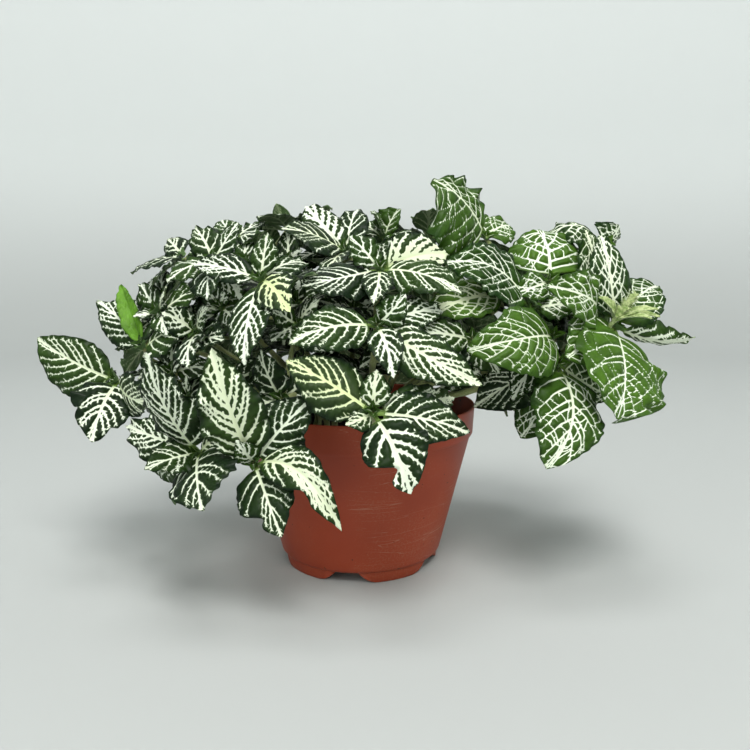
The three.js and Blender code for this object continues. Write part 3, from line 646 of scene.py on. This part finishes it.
def heart_leaves(rng, node, face, form):
    """Four tiny folded leaves at the growing point."""
    across = unit(np.cross((0.1, 0.2, 1), face))
    upward = np.cross(face, across)
    start = rng.uniform(0, 90)
    made = []
    for k in range(4):
        turn = math.radians(start + 90 * k)
        lean = math.radians(rng.uniform(28, 48))
        direction = (across * math.cos(turn) + upward * math.sin(turn)) * math.sin(lean)
        direction = direction + face * math.cos(lean)
        reach = rng.uniform(3.2, 6)
        looks = leaf_looks(rng, form, dict(green=0.9, plain=0.3, lift=0.7, cup=0.1, yellow=0.1, pale=0))
        tip = node + direction * reach
        made.append(leaf_grid(rng, node + direction * 0.8, tip, reach * 0.42, face, looks))
    return made


# ---------- stems ----------

SOIL_EDGE = 50.5
SOCKET_DEPTH = 4.0
POT_HEIGHT = 60.0
OVER_RIM = 9.0
STEM_RADIUS = 1.15
SIDE_RADIUS = 0.8


def stem_points(node, face, root):
    """The same route as the CAD stem's, carried on into the growing point."""
    end = np.array(node, float)
    front = unit(face)
    start = np.array((*root, SOIL_EDGE - SOCKET_DEPTH + GAP))
    rise = np.array((*root, SOIL_EDGE + OVER_RIM))
    middle = (rise + end) / 2
    middle[2] = max(POT_HEIGHT + OVER_RIM, middle[2])
    points = [start, rise]
    if math.hypot(end[0], end[1]) > 20:
        points.append(middle)
    points.append(end - front * 4 * (HUB_RADIUS + GAP))
    points.append(end)
    return points


def spline(points, count):
    """A smooth line through the points, by chord length."""
    points = np.array(points)
    padded = np.vstack([2 * points[0] - points[1], points, 2 * points[-1] - points[-2]])
    line = []
    for i in range(1, len(padded) - 2):
        a, b, c, d = padded[i - 1:i + 3]
        for t in np.linspace(0, 1, count, endpoint=i == len(padded) - 3):
            line.append(0.5 * ((2 * b) + (c - a) * t + (2 * a - 5 * b + 4 * c - d) * t ** 2
                               + (3 * b - a - 3 * c + d) * t ** 3))
    return np.array(line)


def close_rings(rings, start, end):
    """A closed shape through rings of points, with a fan of faces to a centre at each end."""
    sides = len(rings[0])
    points = np.concatenate([*rings, [start], [end]])
    index = np.arange(len(rings) * sides).reshape(len(rings), sides)
    after = np.roll(index, -1, 1)
    quads = np.stack([index[:-1], after[:-1], after[1:], index[1:]], -1).reshape(-1, 4)
    first = np.full(sides, len(points) - 2)
    last = np.full(sides, len(points) - 1)
    caps = [np.stack([first, after[0], index[0]], -1), np.stack([last, index[-1], after[-1]], -1)]
    return points, quads, np.concatenate(caps)


def tube(line, radii, sides=10):
    """A closed round tube along a line, with a flat cap at each end."""
    tangent = np.gradient(line, axis=0)
    tangent /= np.linalg.norm(tangent, axis=1, keepdims=True)
    helper = np.array((0.31, 0.87, 0.12)) if abs(tangent[0][2]) > 0.7 else np.array((0, 0, 1.0))
    angle = np.linspace(0, 2 * math.pi, sides, endpoint=False)[:, None]
    rings = []
    normal = unit(np.cross(tangent[0], helper))
    for here, way, radius in zip(line, tangent, radii):
        normal = unit(normal - way * np.dot(normal, way))
        other = np.cross(way, normal)
        rings.append(here + radius * (np.cos(angle) * normal + np.sin(angle) * other))
    return close_rings(rings, line[0], line[-1])


def stem_mesh(rng, line, radius):
    """A stem with a swelling at each joint."""
    travelled = np.concatenate([[0], np.cumsum(np.linalg.norm(np.diff(line, axis=0), axis=1))])
    radii = radius * (1.0 - 0.2 * travelled / travelled[-1])
    joint = rng.uniform(16, 22)
    while joint < travelled[-1] - 6:
        radii = radii * (1 + 0.3 * np.exp(-((travelled - joint) / 1.3) ** 2))
        joint += rng.uniform(14, 20)
    return tube(line, radii)


# ---------- turning arrays into pieces ----------

def build_mesh(name, points, quads, triangles=()):
    """A smooth Blender mesh from millimetre points."""
    quads = np.asarray(quads, np.int32).reshape(-1, 4)
    triangles = np.asarray(triangles, np.int32).reshape(-1, 3)
    corners = np.concatenate([quads.ravel(), triangles.ravel()])
    sizes = np.concatenate([np.full(len(quads), 4), np.full(len(triangles), 3)])
    mesh = bpy.data.meshes.new(name)
    mesh.vertices.add(len(points))
    mesh.vertices.foreach_set("co", (np.asarray(points) * MM).astype(np.float32).ravel())
    mesh.loops.add(len(corners))
    mesh.loops.foreach_set("vertex_index", corners.astype(np.int32))
    mesh.polygons.add(len(sizes))
    starts = np.concatenate([[0], np.cumsum(sizes)[:-1]])
    mesh.polygons.foreach_set("loop_start", starts.astype(np.int32))
    mesh.polygons.foreach_set("use_smooth", np.ones(len(sizes), bool))
    mesh.update(calc_edges=True)
    mesh.validate()
    return mesh


def add_piece(name, mesh, material, replaced):
    """One visible piece that stands for a CAD node."""
    piece = bpy.data.objects.new(name, mesh)
    bpy.context.scene.collection.objects.link(piece)
    mesh.materials.append(material)
    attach(piece, "root")
    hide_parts(replaced)


def set_attribute(mesh, name, kind, domain, values):
    layer = mesh.attributes.new(name, kind, domain)
    field = "color" if kind == "FLOAT_COLOR" else "value"
    layer.data.foreach_set(field, np.asarray(values, np.float32).ravel())


def pack_sheets(leaves):
    """Places of every leaf's upper and lower sheet side by side in shelves of one square map."""
    sizes = []
    for number, leaf in enumerate(leaves):
        span = leaf["flat"].max(0) - leaf["flat"].min(0) + 1.2
        sizes += [(span[1], span[0], number, 0), (span[1], span[0], number, 1)]
    sizes.sort(reverse=True)
    side = math.sqrt(sum(height * width for height, width, *_ in sizes)) * 1.04
    while True:
        places, x, y, shelf = {}, 0.0, 0.0, 0.0
        for height, width, number, under in sizes:
            if x + width > side:
                x, y, shelf = 0.0, y + shelf, 0.0
            shelf = max(shelf, height)
            places[number, under] = (x + 0.6, y + 0.6)
            x += width
        if y + shelf <= side:
            return places, side
        side *= 1.03


def leaf_mesh(name, leaves):
    """All leaves of one shoot as one mesh with its colour data and its flat map."""
    places, side = pack_sheets(leaves)
    points, quads, triangles, offset = [], [], [], 0
    quad_under, triangle_under, quad_map, triangle_map = [], [], [], []
    for number, leaf in enumerate(leaves):
        count = len(leaf["quads"])
        under = leaf["under"]
        flat = leaf["flat"] - leaf["flat"].min(0)
        shift = np.array([places[number, 0], places[number, 1]])
        for faces, flags, maps, part in (
                (leaf["quads"], under[:count], quad_map, quads),
                (leaf["triangles"], under[count:], triangle_map, triangles)):
            maps.append(((flat[faces] + shift[flags.astype(int)][:, None, :]) / side).reshape(-1, 2))
            part.append(faces + offset)
        quad_under.append(under[:count])
        triangle_under.append(under[count:])
        points.append(leaf["points"])
        offset += len(leaf["points"])
    mesh = build_mesh(name, np.concatenate(points), np.concatenate(quads), np.concatenate(triangles))
    layer = mesh.uv_layers.new(name="OFBake")
    layer.data.foreach_set("uv", np.concatenate(quad_map + triangle_map).astype(np.float32).ravel())
    set_attribute(mesh, "under", "FLOAT", "FACE", np.concatenate(quad_under + triangle_under))
    set_attribute(mesh, "vein", "FLOAT", "POINT", np.concatenate([leaf["vein"] for leaf in leaves]))
    for key in ("tissue", "rib"):
        colour = np.concatenate([leaf[key] for leaf in leaves])
        colour = np.column_stack([colour, np.ones(len(colour))])
        set_attribute(mesh, key, "FLOAT_COLOR", "POINT", colour)
    return mesh


# ---------- materials ----------

VEIN_HALO = (0.13, 0.26, 0.05, 1)
PAINTED_SHADE_GREEN = (0.006, 0.015, 0.005, 1)
UNDER_VEIN = (0.42, 0.5, 0.3, 1)
STEM_TONES = (0.2, 0.27, 0.07, 1), (0.33, 0.34, 0.14, 1)
STEM_HAIR = (0.6, 0.62, 0.42, 1)
POT_TONES = (0.29, 0.042, 0.015, 1), (0.34, 0.055, 0.021, 1)
POT_DUST = (0.4, 0.2, 0.12, 1)
POT_SCUFF = (0.42, 0.2, 0.13, 1)
SOIL_SPECK = (0.035, 0.02, 0.012, 1)
PEAT_TONES = (0.012, 0.008, 0.005, 1), (0.06, 0.036, 0.02, 1)
BRACT_TONES = (0.2, 0.3, 0.07, 1), (0.5, 0.58, 0.26, 1)
FLOOR_PAINT = (0.46, 0.48, 0.47, 1)
WALL_PAINT = (0.72, 0.75, 0.74, 1)


class Look:
    """A material under construction. Each value given to a method is a socket or a constant."""

    def __init__(self, name):
        self.material = bpy.data.materials.new(name)
        self.material.use_nodes = True
        self.nodes = self.material.node_tree.nodes
        self.shader = self.nodes["Principled BSDF"]
        self.place = self.nodes.new("ShaderNodeTexCoord").outputs["Object"]

    def feed(self, sockets, *values):
        for socket, value in zip(sockets, values):
            if isinstance(value, bpy.types.NodeSocket):
                self.material.node_tree.links.new(value, socket)
            else:
                socket.default_value = value

    def set(self, **values):
        """Sets the shader's own inputs, whose names have _ for each space."""
        for name, value in values.items():
            self.feed([self.shader.inputs[name.replace("_", " ")]], value)

    def attribute(self, name, output="Fac"):
        node = self.nodes.new("ShaderNodeAttribute")
        node.attribute_name = name
        return node.outputs[output]

    def mix(self, factor, first, second):
        node = self.nodes.new("ShaderNodeMix")
        node.data_type = "RGBA"
        self.feed([node.inputs[0], node.inputs[6], node.inputs[7]], factor, first, second)
        return node.outputs[2]

    def noise(self, scale, detail=3.0, coordinate=None):
        node = self.nodes.new("ShaderNodeTexNoise")
        where = self.place if coordinate is None else coordinate
        sockets = [node.inputs[name] for name in ("Vector", "Scale", "Detail")]
        self.feed(sockets, where, scale, detail)
        return node.outputs["Fac"]

    def spread(self, value, low, high, to_low=0.0, to_high=1.0):
        """The value moved softly from one range to another and kept inside it."""
        node = self.nodes.new("ShaderNodeMapRange")
        node.interpolation_type = "SMOOTHSTEP"
        self.feed(node.inputs[:5], value, low, high, to_low, to_high)
        return node.outputs[0]

    def compute(self, operation, first, second):
        node = self.nodes.new("ShaderNodeMath")
        node.operation = operation
        self.feed(node.inputs, first, second)
        return node.outputs[0]

    def bump(self, height, distance, strength=1.0):
        node = self.nodes.new("ShaderNodeBump")
        sockets = [node.inputs[name] for name in ("Height", "Distance", "Strength")]
        self.feed(sockets, height, distance, strength)
        self.set(Normal=node.outputs["Normal"])


def leaf_material(name):
    """Green tissue between pale veins, darkened in random blotches of painted shade, with a paler matt
    underside.
    """
    look = Look(name)
    vein = look.attribute("vein")
    grain = look.noise(2600, 2)
    ragged = look.compute("MULTIPLY", look.compute("SUBTRACT", grain, 0.5), 0.16)
    on_vein = look.spread(look.compute("ADD", vein, ragged), 0.0, 0.15, 1, 0)
    halo = look.spread(vein, 0.0, 0.7, 0.11, 0)
    green = look.mix(halo, look.attribute("tissue", "Color"), VEIN_HALO)
    # Painted shade: random blotches that darken the tissue by up to 0.3 towards a near-black green.
    green = look.mix(look.spread(look.noise(260, 3), 0.35, 0.7, 0, 0.3), green, PAINTED_SHADE_GREEN)
    upper = look.mix(on_vein, green, look.attribute("rib", "Color"))
    lower = look.mix(0.62, green, (*UNDERSIDE, 1))
    lower = look.mix(look.compute("MULTIPLY", on_vein, 0.75), lower, UNDER_VEIN)
    pillow = look.spread(vein, 0.0, 0.9, 0, 0.8)
    look.bump(look.compute("ADD", pillow, look.compute("MULTIPLY", grain, 0.12)), 0.0004, 0.8)
    look.set(Base_Color=look.mix(look.attribute("under"), upper, lower),
             Roughness=look.spread(grain, 0.3, 0.7, 0.36, 0.5), Specular_IOR_Level=0.15)
    return look.material


def stem_material():
    look = Look("stem_green")
    fuzz = look.noise(4200, 2)
    colour = look.mix(look.noise(180), *STEM_TONES)
    colour = look.mix(look.spread(fuzz, 0.5, 0.75, 0, 0.5), colour, STEM_HAIR)
    look.bump(fuzz, 0.0002)
    look.set(Base_Color=colour, Roughness=0.7, Sheen_Weight=0.3)
    return look.material


def pot_material():
    """Satin brick-red plastic with faint flow marks, dust, scratches and specks of soil."""
    look = Look("pot_plastic")
    cloud = look.noise(26, 4)
    speck = look.noise(1500, 2)
    colour = look.mix(look.spread(cloud, 0.35, 0.65), *POT_TONES)
    dust = look.spread(look.compute("MULTIPLY", cloud, speck), 0.27, 0.42, 0, 0.16)
    colour = look.mix(dust, colour, POT_DUST)
    colour = look.mix(pot_scratches(look, cloud), colour, POT_SCUFF)
    colour = look.mix(look.spread(look.noise(620, 1), 0.755, 0.78, 0, 0.8), colour, SOIL_SPECK)
    look.bump(speck, 0.00005, 0.5)
    look.set(Base_Color=colour, Roughness=look.spread(cloud, 0.3, 0.7, 0.42, 0.55), Specular_IOR_Level=0.3)
    return look.material


def pot_scratches(look, cloud):
    """Thin pale lines that run askew around the pot, where the cloud pattern lets them show."""
    slant = look.nodes.new("ShaderNodeMapping")
    sockets = [slant.inputs[name] for name in ("Vector", "Rotation", "Scale")]
    look.feed(sockets, look.place, (0.5, 0.2, 0.3), (18, 18, 240))
    streak = look.noise(1.0, 2, slant.outputs["Vector"])
    offset = look.compute("ABSOLUTE", look.compute("SUBTRACT", streak, 0.5), 0)
    line = look.spread(offset, 0.002, 0.007, 0.5, 0)
    return look.compute("MULTIPLY", line, look.spread(cloud, 0.48, 0.58))


def peat_material():
    look = Look("peat")
    look.bump(look.noise(2400, 3), 0.0004)
    look.set(Base_Color=look.mix(look.spread(look.noise(420, 4), 0.35, 0.7), *PEAT_TONES), Roughness=0.95)
    return look.material


def bract_material():
    look = Look("bract")
    colour = look.mix(look.spread(look.noise(900), 0.35, 0.65), *BRACT_TONES)
    look.set(Base_Color=colour, Roughness=0.6, Sheen_Weight=0.3)
    return look.material


def wall_material():
    """Paint that is paler up the wall than on the floor."""
    look = Look("wall_paint")
    split = look.nodes.new("ShaderNodeSeparateXYZ")
    look.feed([split.inputs["Vector"]], look.place)
    look.set(Base_Color=look.mix(look.spread(split.outputs["Z"], 0.0, 0.3), FLOOR_PAINT, WALL_PAINT),
             Roughness=0.9)
    return look.material


# ---------- pot and soil ----------

ROUND = 128  # steps around the pot
BAND_FOOT = POT_HEIGHT - 10.5  # lower edge of the rim band
RIM_RADIUS = 43.0
BAND_STEP_RADIUS = 41.8  # of the wall where the band starts
BASE_RADIUS = 30.5
WALL = 1.1
FLOOR_TOP = 5.3
FOOT_HEIGHT = 4.0
FOOT_COUNT = 5
FOOT_ARC = 55  # degrees
FIRST_FOOT = -63  # degrees
FOOT_OUTER = 29.2
FOOT_WIDTH = 2.6
DRAIN_COUNT = 5
DRAIN_RADIUS = 3.2
DRAIN_RING = 17  # radius of the circle that the drain holes lie on
DRAIN_CENTRE_RADIUS = 3.6
SOIL_CROWN = 1.6  # rise of the soil from its edge to its middle
CRUMBS = 1100


def lathe(profile, steps=ROUND):
    """A closed turned shape from radius and height pairs that start and end on the axis."""
    turn = np.linspace(0, 2 * math.pi, steps, endpoint=False)
    circle = np.stack([np.cos(turn), np.sin(turn)], 1)
    rings = [np.column_stack([circle * radius, np.full(steps, height)]) for radius, height in profile[1:-1]]
    return close_rings(rings, (0, 0, profile[0][1]), (0, 0, profile[-1][1]))


def cylinder(x, y, low, high, radius):
    points, quads, triangles = lathe([(0, low), (radius, low), (radius, high), (0, high)], 40)
    return points + np.array((x, y, 0)), quads, triangles


def foot_sector(centre):
    """One of the arcs that the pot stands on, rounded off towards its ends."""
    steps = 41
    share = np.linspace(-1, 1, steps)
    turn = np.radians(centre + FOOT_ARC / 2 * share)
    lift = (FOOT_HEIGHT - 0.4) * np.clip((np.abs(share) - 0.5) / 0.5, 0, 1) ** 2.2
    ring = np.stack([np.cos(turn), np.sin(turn)], 1)
    inner, top_height = FOOT_OUTER - FOOT_WIDTH, FOOT_HEIGHT + 0.6
    rows = [(inner, top_height), (inner, 0.3), (inner + 0.3, 0), (FOOT_OUTER - 0.3, 0), (FOOT_OUTER, 0.3)]
    rows.append((FOOT_OUTER, top_height))
    points = np.concatenate([
        np.column_stack([ring * radius, z + lift * (1 - z / top_height)]) for radius, z in rows])
    index = np.arange(len(points)).reshape(len(rows), steps)
    quads = [np.stack([index[:-1, :-1], index[1:, :-1], index[1:, 1:], index[:-1, 1:]], -1).reshape(-1, 4)]
    top = np.stack([index[-1, :-1], index[0, :-1], index[0, 1:], index[-1, 1:]], -1)
    ends = []
    for a, b, c, d in ((0, 5, 4, 1), (1, 4, 3, 2)):
        ends.append((index[a, 0], index[b, 0], index[c, 0], index[d, 0]))
        ends.append((index[d, -1], index[c, -1], index[b, -1], index[a, -1]))
    return points, np.concatenate([*quads, top, ends]), np.zeros((0, 3), int)


def inner_radius(height):
    share = (height - FOOT_HEIGHT) / (BAND_FOOT - FOOT_HEIGHT)
    return BASE_RADIUS + (BAND_STEP_RADIUS - BASE_RADIUS) * share - WALL


def combine(parts):
    points, quads, triangles, offset = [], [], [], 0
    for part_points, part_quads, part_triangles in parts:
        points.append(part_points)
        quads.append(part_quads + offset)
        triangles.append(part_triangles + offset)
        offset += len(part_points)
    return np.concatenate(points), np.concatenate(quads), np.concatenate(triangles)


def pot_profile():
    """The moulded wall and floor, from the middle underneath, over the rim, to the middle inside."""
    return [
        (0, FOOT_HEIGHT), (BASE_RADIUS - 1.5, FOOT_HEIGHT), (BASE_RADIUS - 0.5, FOOT_HEIGHT + 0.2),
        (BASE_RADIUS, FOOT_HEIGHT + 0.9), (BASE_RADIUS + 0.2, FOOT_HEIGHT + 1.6),
        (BAND_STEP_RADIUS - 0.3, BAND_FOOT - 0.7), (BAND_STEP_RADIUS - 0.25, BAND_FOOT - 0.15),
        (BAND_STEP_RADIUS + 0.4, BAND_FOOT - 0.05), (BAND_STEP_RADIUS + 0.58, BAND_FOOT + 0.3),
        (BAND_STEP_RADIUS + 0.64, BAND_FOOT + 1.2), (RIM_RADIUS - 0.1, POT_HEIGHT - 1.4),
        (RIM_RADIUS, POT_HEIGHT - 0.6), (RIM_RADIUS - 0.12, POT_HEIGHT - 0.15),
        (RIM_RADIUS - 0.45, POT_HEIGHT), (RIM_RADIUS - 0.8, POT_HEIGHT - 0.1),
        (RIM_RADIUS - 1.05, POT_HEIGHT - 0.5), (inner_radius(BAND_FOOT) + 0.1, BAND_FOOT + 0.4),
        (inner_radius(BAND_FOOT), BAND_FOOT), (inner_radius(FLOOR_TOP + 1), FLOOR_TOP + 1),
        (inner_radius(FLOOR_TOP) - 0.7, FLOOR_TOP), (0, FLOOR_TOP)]


def make_pot():
    """The shell with its drain holes cut out and its feet joined on."""
    shell = bpy.data.objects.new("shell", build_mesh("pot", *lathe(pot_profile())))
    holes = [cylinder(0, 0, 3, 7, DRAIN_CENTRE_RADIUS)]
    for i in range(DRAIN_COUNT):
        turn = 2 * math.pi * i / DRAIN_COUNT
        holes.append(cylinder(DRAIN_RING * math.cos(turn), DRAIN_RING * math.sin(turn), 3, 7, DRAIN_RADIUS))
    cutter = bpy.data.objects.new("holes", build_mesh("holes", *combine(holes)))
    feet = bpy.data.objects.new("feet", build_mesh("feet", *combine(
        [foot_sector(FIRST_FOOT + 360 / FOOT_COUNT * i) for i in range(FOOT_COUNT)])))
    for helper in (shell, cutter, feet):
        bpy.context.scene.collection.objects.link(helper)
    for helper, operation in ((cutter, "DIFFERENCE"), (feet, "UNION")):
        modifier = shell.modifiers.new(operation, "BOOLEAN")
        modifier.operation = operation
        modifier.solver = "EXACT"
        modifier.object = helper
    graph = bpy.context.evaluated_depsgraph_get()
    mesh = bpy.data.meshes.new_from_object(shell.evaluated_get(graph))
    for helper in (shell, cutter, feet):
        bpy.data.objects.remove(helper)
    mesh.set_sharp_from_angle(angle=math.radians(50))
    add_piece("plant_pot", mesh, pot_material(), "pot")


def soil_level(share):
    """Height of the smooth soil at a share of its radius."""
    return SOIL_EDGE + SOIL_CROWN * (1 - share ** 4)


def make_soil(rng):
    """The bed of peat with its surface broken up, and loose crumbs lying on it."""
    steps = 160
    turn = np.linspace(0, 2 * math.pi, steps, endpoint=False)
    floor = FLOOR_TOP + GAP
    edge_radius = inner_radius(SOIL_EDGE) - GAP
    rows = [(0, floor), (inner_radius(floor) - GAP - 0.8, floor), (inner_radius(floor) - GAP, floor + 1)]
    rows += [(edge_radius, SOIL_EDGE - 0.5)]
    rows += [(radius, soil_level(radius / edge_radius)) for radius in np.linspace(edge_radius, 1, 34)]
    rows += [(0, soil_level(0))]
    points, quads, triangles = lathe(rows, steps)
    surface = points[:, 2] > SOIL_EDGE - 0.4
    hill = np.zeros(len(points))
    for _ in range(46):
        direction = rng.uniform(0, 2 * math.pi)
        cycles = rng.uniform(0.08, 0.55)
        way = points[:, 0] * math.cos(direction) + points[:, 1] * math.sin(direction)
        hill += np.sin(way * cycles * 2 * math.pi + rng.uniform(0, 6.3)) * 0.06 / cycles ** 0.35
    inward = np.clip((edge_radius - np.hypot(points[:, 0], points[:, 1])) / 2, 0, 1)
    points[:, 2] += np.where(surface, hill * inward, 0)

    parts = [(points, quads, triangles)]
    ball_points, ball_faces = icosphere()
    for _ in range(CRUMBS):
        radius = (edge_radius - 1) * math.sqrt(rng.random())
        angle = rng.uniform(0, 2 * math.pi)
        size = rng.uniform(0.35, 0.8) if rng.random() < 0.8 else rng.uniform(0.8, 1.5)
        lump = ball_points * rng.uniform(0.6, 1.3, 3) * size
        lump = lump * (1 + rng.normal(0, 0.13, (len(ball_points), 1)))
        level = soil_level(radius / edge_radius) + size * 0.2
        place = (radius * math.cos(angle), radius * math.sin(angle), level)
        parts.append((lump + place, np.zeros((0, 4), int), ball_faces))
    add_piece("peat_bed", build_mesh("peat", *combine(parts)), peat_material(), "soil")


def icosphere():
    golden = (1 + math.sqrt(5)) / 2
    points = [(-1, golden, 0), (1, golden, 0), (-1, -golden, 0), (1, -golden, 0), (0, -1, golden),
              (0, 1, golden), (0, -1, -golden), (0, 1, -golden), (golden, 0, -1), (golden, 0, 1),
              (-golden, 0, -1), (-golden, 0, 1)]
    faces = [(0, 11, 5), (0, 5, 1), (0, 1, 7), (0, 7, 10), (0, 10, 11), (1, 5, 9), (5, 11, 4),
             (11, 10, 2), (10, 7, 6), (7, 1, 8), (3, 9, 4), (3, 4, 2), (3, 2, 6), (3, 6, 8), (3, 8, 9),
             (4, 9, 5), (2, 4, 11), (6, 2, 10), (8, 6, 7), (9, 8, 1)]
    return np.array(points) / math.hypot(1, golden), np.array(faces)


# ---------- shoots ----------

def make_shoot(name, shoot, seed, leaf_look, stem_look, side):
    """The leaves and the stem of one shoot. A side shoot's stem is part of its leaves' CAD node."""
    rng = np.random.default_rng(seed)
    form = shoot.get("form", DARK)
    leaves = rosette_leaves(rng, shoot, form)
    twigs = []
    if "tip" in shoot:
        upper = dict(face=shoot["face"]) | shoot["tip"]
        leaves += rosette_leaves(rng, upper, form)
        twigs.append(tube(np.linspace(shoot["node"], upper["node"], 8), np.linspace(1.0, 0.8, 8)))
    line = spline(stem_points(shoot["node"], shoot["face"], shoot["root"]), 14)
    stem = stem_mesh(rng, line, SIDE_RADIUS if side else STEM_RADIUS)
    if not shoot.get("bare"):
        leaves += lower_leaves(rng, line, form)
    for rosette in INNER_ROSETTES.get(name, ()):
        leaves += rosette_leaves(rng, rosette, form)
        twigs.append(side_twig(line, rosette["node"]))
    leaf_node = f"side_shoot_{name}" if side else f"leaves_{name}"
    stem_node = leaf_node if side else f"stem_{name}"
    add_piece(f"foliage_{name}", leaf_mesh(f"foliage_{name}", leaves), leaf_look, leaf_node)
    twig_mesh = build_mesh(f"twig_{name}", *combine([stem, *twigs]))
    add_piece(f"twig_{name}", twig_mesh, stem_look, stem_node)


def side_twig(line, node):
    """A thin twig from a lower part of a stem to an inner rosette."""
    node = np.array(node, float)
    lower = line[(line[:, 2] < node[2] - 3) & (line[:, 2] > SOIL_EDGE)]
    start = lower[np.argmin(np.linalg.norm(lower - node, axis=1))]
    middle = (start + node) / 2 + np.array((0, 0, -2.0))
    path = spline([start, middle, node], 6)
    return tube(path, np.full(len(path), 0.7))


def make_flower_spike(rng):
    """Pairs of small pointed hairy bracts, each crossed over the pair below, and young leaves."""
    foot = np.array((87, -23, 92), float)
    lean = unit((0.55, -0.15, 0.8))
    across = unit(np.cross(lean, (0, 1, 0)))
    upward = np.cross(lean, across)
    leaves, hairs = [], []
    for row in range(6):
        for half in (0, 180):
            turn = math.radians(half + 90 * row + 20)
            outward = across * math.cos(turn) + upward * math.sin(turn)
            base = foot + lean * (0.5 + 1.75 * row)
            size = 5.4 - 0.4 * row
            tip = base + lean * size + outward * (2.6 - 0.25 * row)
            looks = leaf_looks(rng, LIGHT, dict(lift=0.9, cup=0.1, green=1.2, curl=0, plain=0.12))
            leaves.append(leaf_grid(rng, base + outward * 0.2, tip, size * 0.62, -outward, looks))
            for _ in range(20):
                start = base + (tip - base) * rng.uniform(0.3, 1) + outward * 0.3
                end = start + (outward * rng.uniform(0.5, 1.3) + lean * rng.uniform(0, 1)
                               + rng.normal(0, 0.4, 3))
                hairs.append(tube(np.linspace(start, end, 3), [0.07, 0.05, 0.02], 4))
    for x, y, z, width in ((101, -27, 97, 3.2), (98, -30, 94, 3), (103, -24, 94, 3.4), (81, -26, 101, 4.5)):
        tip = np.array((x, y, z), float)
        looks = leaf_looks(rng, LIGHT, dict(lift=0.6, cup=0.1, green=1.4, plain=0.25))
        leaves.append(leaf_grid(rng, foot + lean * 1.5, tip, width, unit((0.1, -0.7, 0.7)), looks))
    core = tube(np.linspace(foot - lean * 2, foot + lean * 11, 8), np.linspace(0.9, 0.35, 8))
    core_mesh = build_mesh("flower_core", *combine([core, *hairs]))
    look = bract_material()
    add_piece("flower_bracts", leaf_mesh("flower_bracts", leaves), look, "flower_spike")
    add_piece("flower_core", core_mesh, look, "flower_spike")


# ---------- camera, light and stage ----------

CAMERA_PLACE = (0.0055, -0.280, 0.114)  # metres
CAMERA_DIP = 8.9  # degrees below level
STAGE_RADIUS = 1000.0  # mm
STAGE_BEND = 300.0
WALL_TOP = 1700.0
LAMPS = [  # name, place, aim and size in metres, power in watts, colour
    ("key", (0.1, -0.6, 0.95), (0, 0, 0.09), 0.5, 9.3, (1, 0.99, 0.97)),
    ("wall wash", (0, 0.1, 1.4), (0, 1.0, 0.5), 0.6, 6.2, (1, 1, 1)),
    ("back wash", (0, -0.3, 1.5), (0, -1.0, 0.5), 0.6, 3, (1, 1, 1)),
    ("fill", (-0.7, -0.6, 0.35), (0, 0, 0.08), 0.8, 1.2, (0.93, 0.97, 1)),
]


def make_camera():
    camera = bpy.data.cameras.new("camera")
    camera.lens = 36
    camera.sensor_width = 36
    camera.clip_start = 0.01
    camera.dof.use_dof = False
    holder = bpy.data.objects.new("camera", camera)
    holder.location = CAMERA_PLACE
    holder.rotation_euler = (math.radians(90 - CAMERA_DIP), 0, 0)
    bpy.context.scene.collection.objects.link(holder)
    bpy.context.scene.camera = holder


def make_light(name, place, aim, size, power, colour):
    lamp = bpy.data.lights.new(name, "AREA")
    lamp.shape = "DISK"
    lamp.size = size
    lamp.energy = power
    lamp.color = colour
    holder = bpy.data.objects.new(name, lamp)
    holder.location = place
    holder.rotation_euler = (Vector(aim) - Vector(place)).to_track_quat("-Z", "Y").to_euler()
    holder.visible_camera = False
    bpy.context.scene.collection.objects.link(holder)


def make_stage():
    """A round pale floor that curves up into a wall."""
    bend = np.linspace(0, math.pi / 2, 13)
    flat = STAGE_RADIUS - STAGE_BEND
    rows = [(1.0, 0.0), (250.0, 0.0), (500.0, 0.0), (flat, 0.0)]
    rows += [(flat + STAGE_BEND * math.sin(t), STAGE_BEND - STAGE_BEND * math.cos(t)) for t in bend[1:]]
    rows += [(STAGE_RADIUS, WALL_TOP)]
    turn = np.linspace(0, 2 * math.pi, 96, endpoint=False)
    circle = np.stack([np.cos(turn), np.sin(turn)], 1)
    points = np.concatenate([np.column_stack([circle * radius, np.full(96, z)]) for radius, z in rows])
    index = np.arange(len(points)).reshape(len(rows), 96)
    after = np.roll(index, -1, 1)
    quads = np.stack([index[:-1], index[1:], after[1:], after[:-1]], -1).reshape(-1, 4)
    floor = bpy.data.objects.new("floor", build_mesh("floor", points, quads))
    floor.data.materials.append(wall_material())
    bpy.context.scene.collection.objects.link(floor)


def make_daylight():
    """Soft lamps, a weak even sky and plain display colours."""
    for lamp in LAMPS:
        make_light(*lamp)
    world = bpy.data.worlds.new("daylight")
    world.use_nodes = True
    background = world.node_tree.nodes["Background"]
    background.inputs["Color"].default_value = (0.97, 0.99, 1, 1)
    background.inputs["Strength"].default_value = 0.1
    bpy.context.scene.world = world
    bpy.context.scene.view_settings.view_transform = "Standard"


# ---------- the object ----------

def build_plant():
    make_pot()
    make_soil(np.random.default_rng(5))
    dark_look = leaf_material("leaf_dark")
    light_look = leaf_material("leaf_light")
    stem_look = stem_material()
    groups = [(MAIN_SHOOTS, False), (RULED_SHOOTS, False), (SIDE_SHOOTS, True)]
    seed = 100
    for shoots, side in groups:
        for name, shoot in shoots.items():
            look = light_look if shoot.get("form") == LIGHT else dark_look
            make_shoot(name, shoot, seed, look, stem_look, side)
            seed += 1
    make_flower_spike(np.random.default_rng(9))


build_plant()
make_camera()
make_stage()
make_daylight()
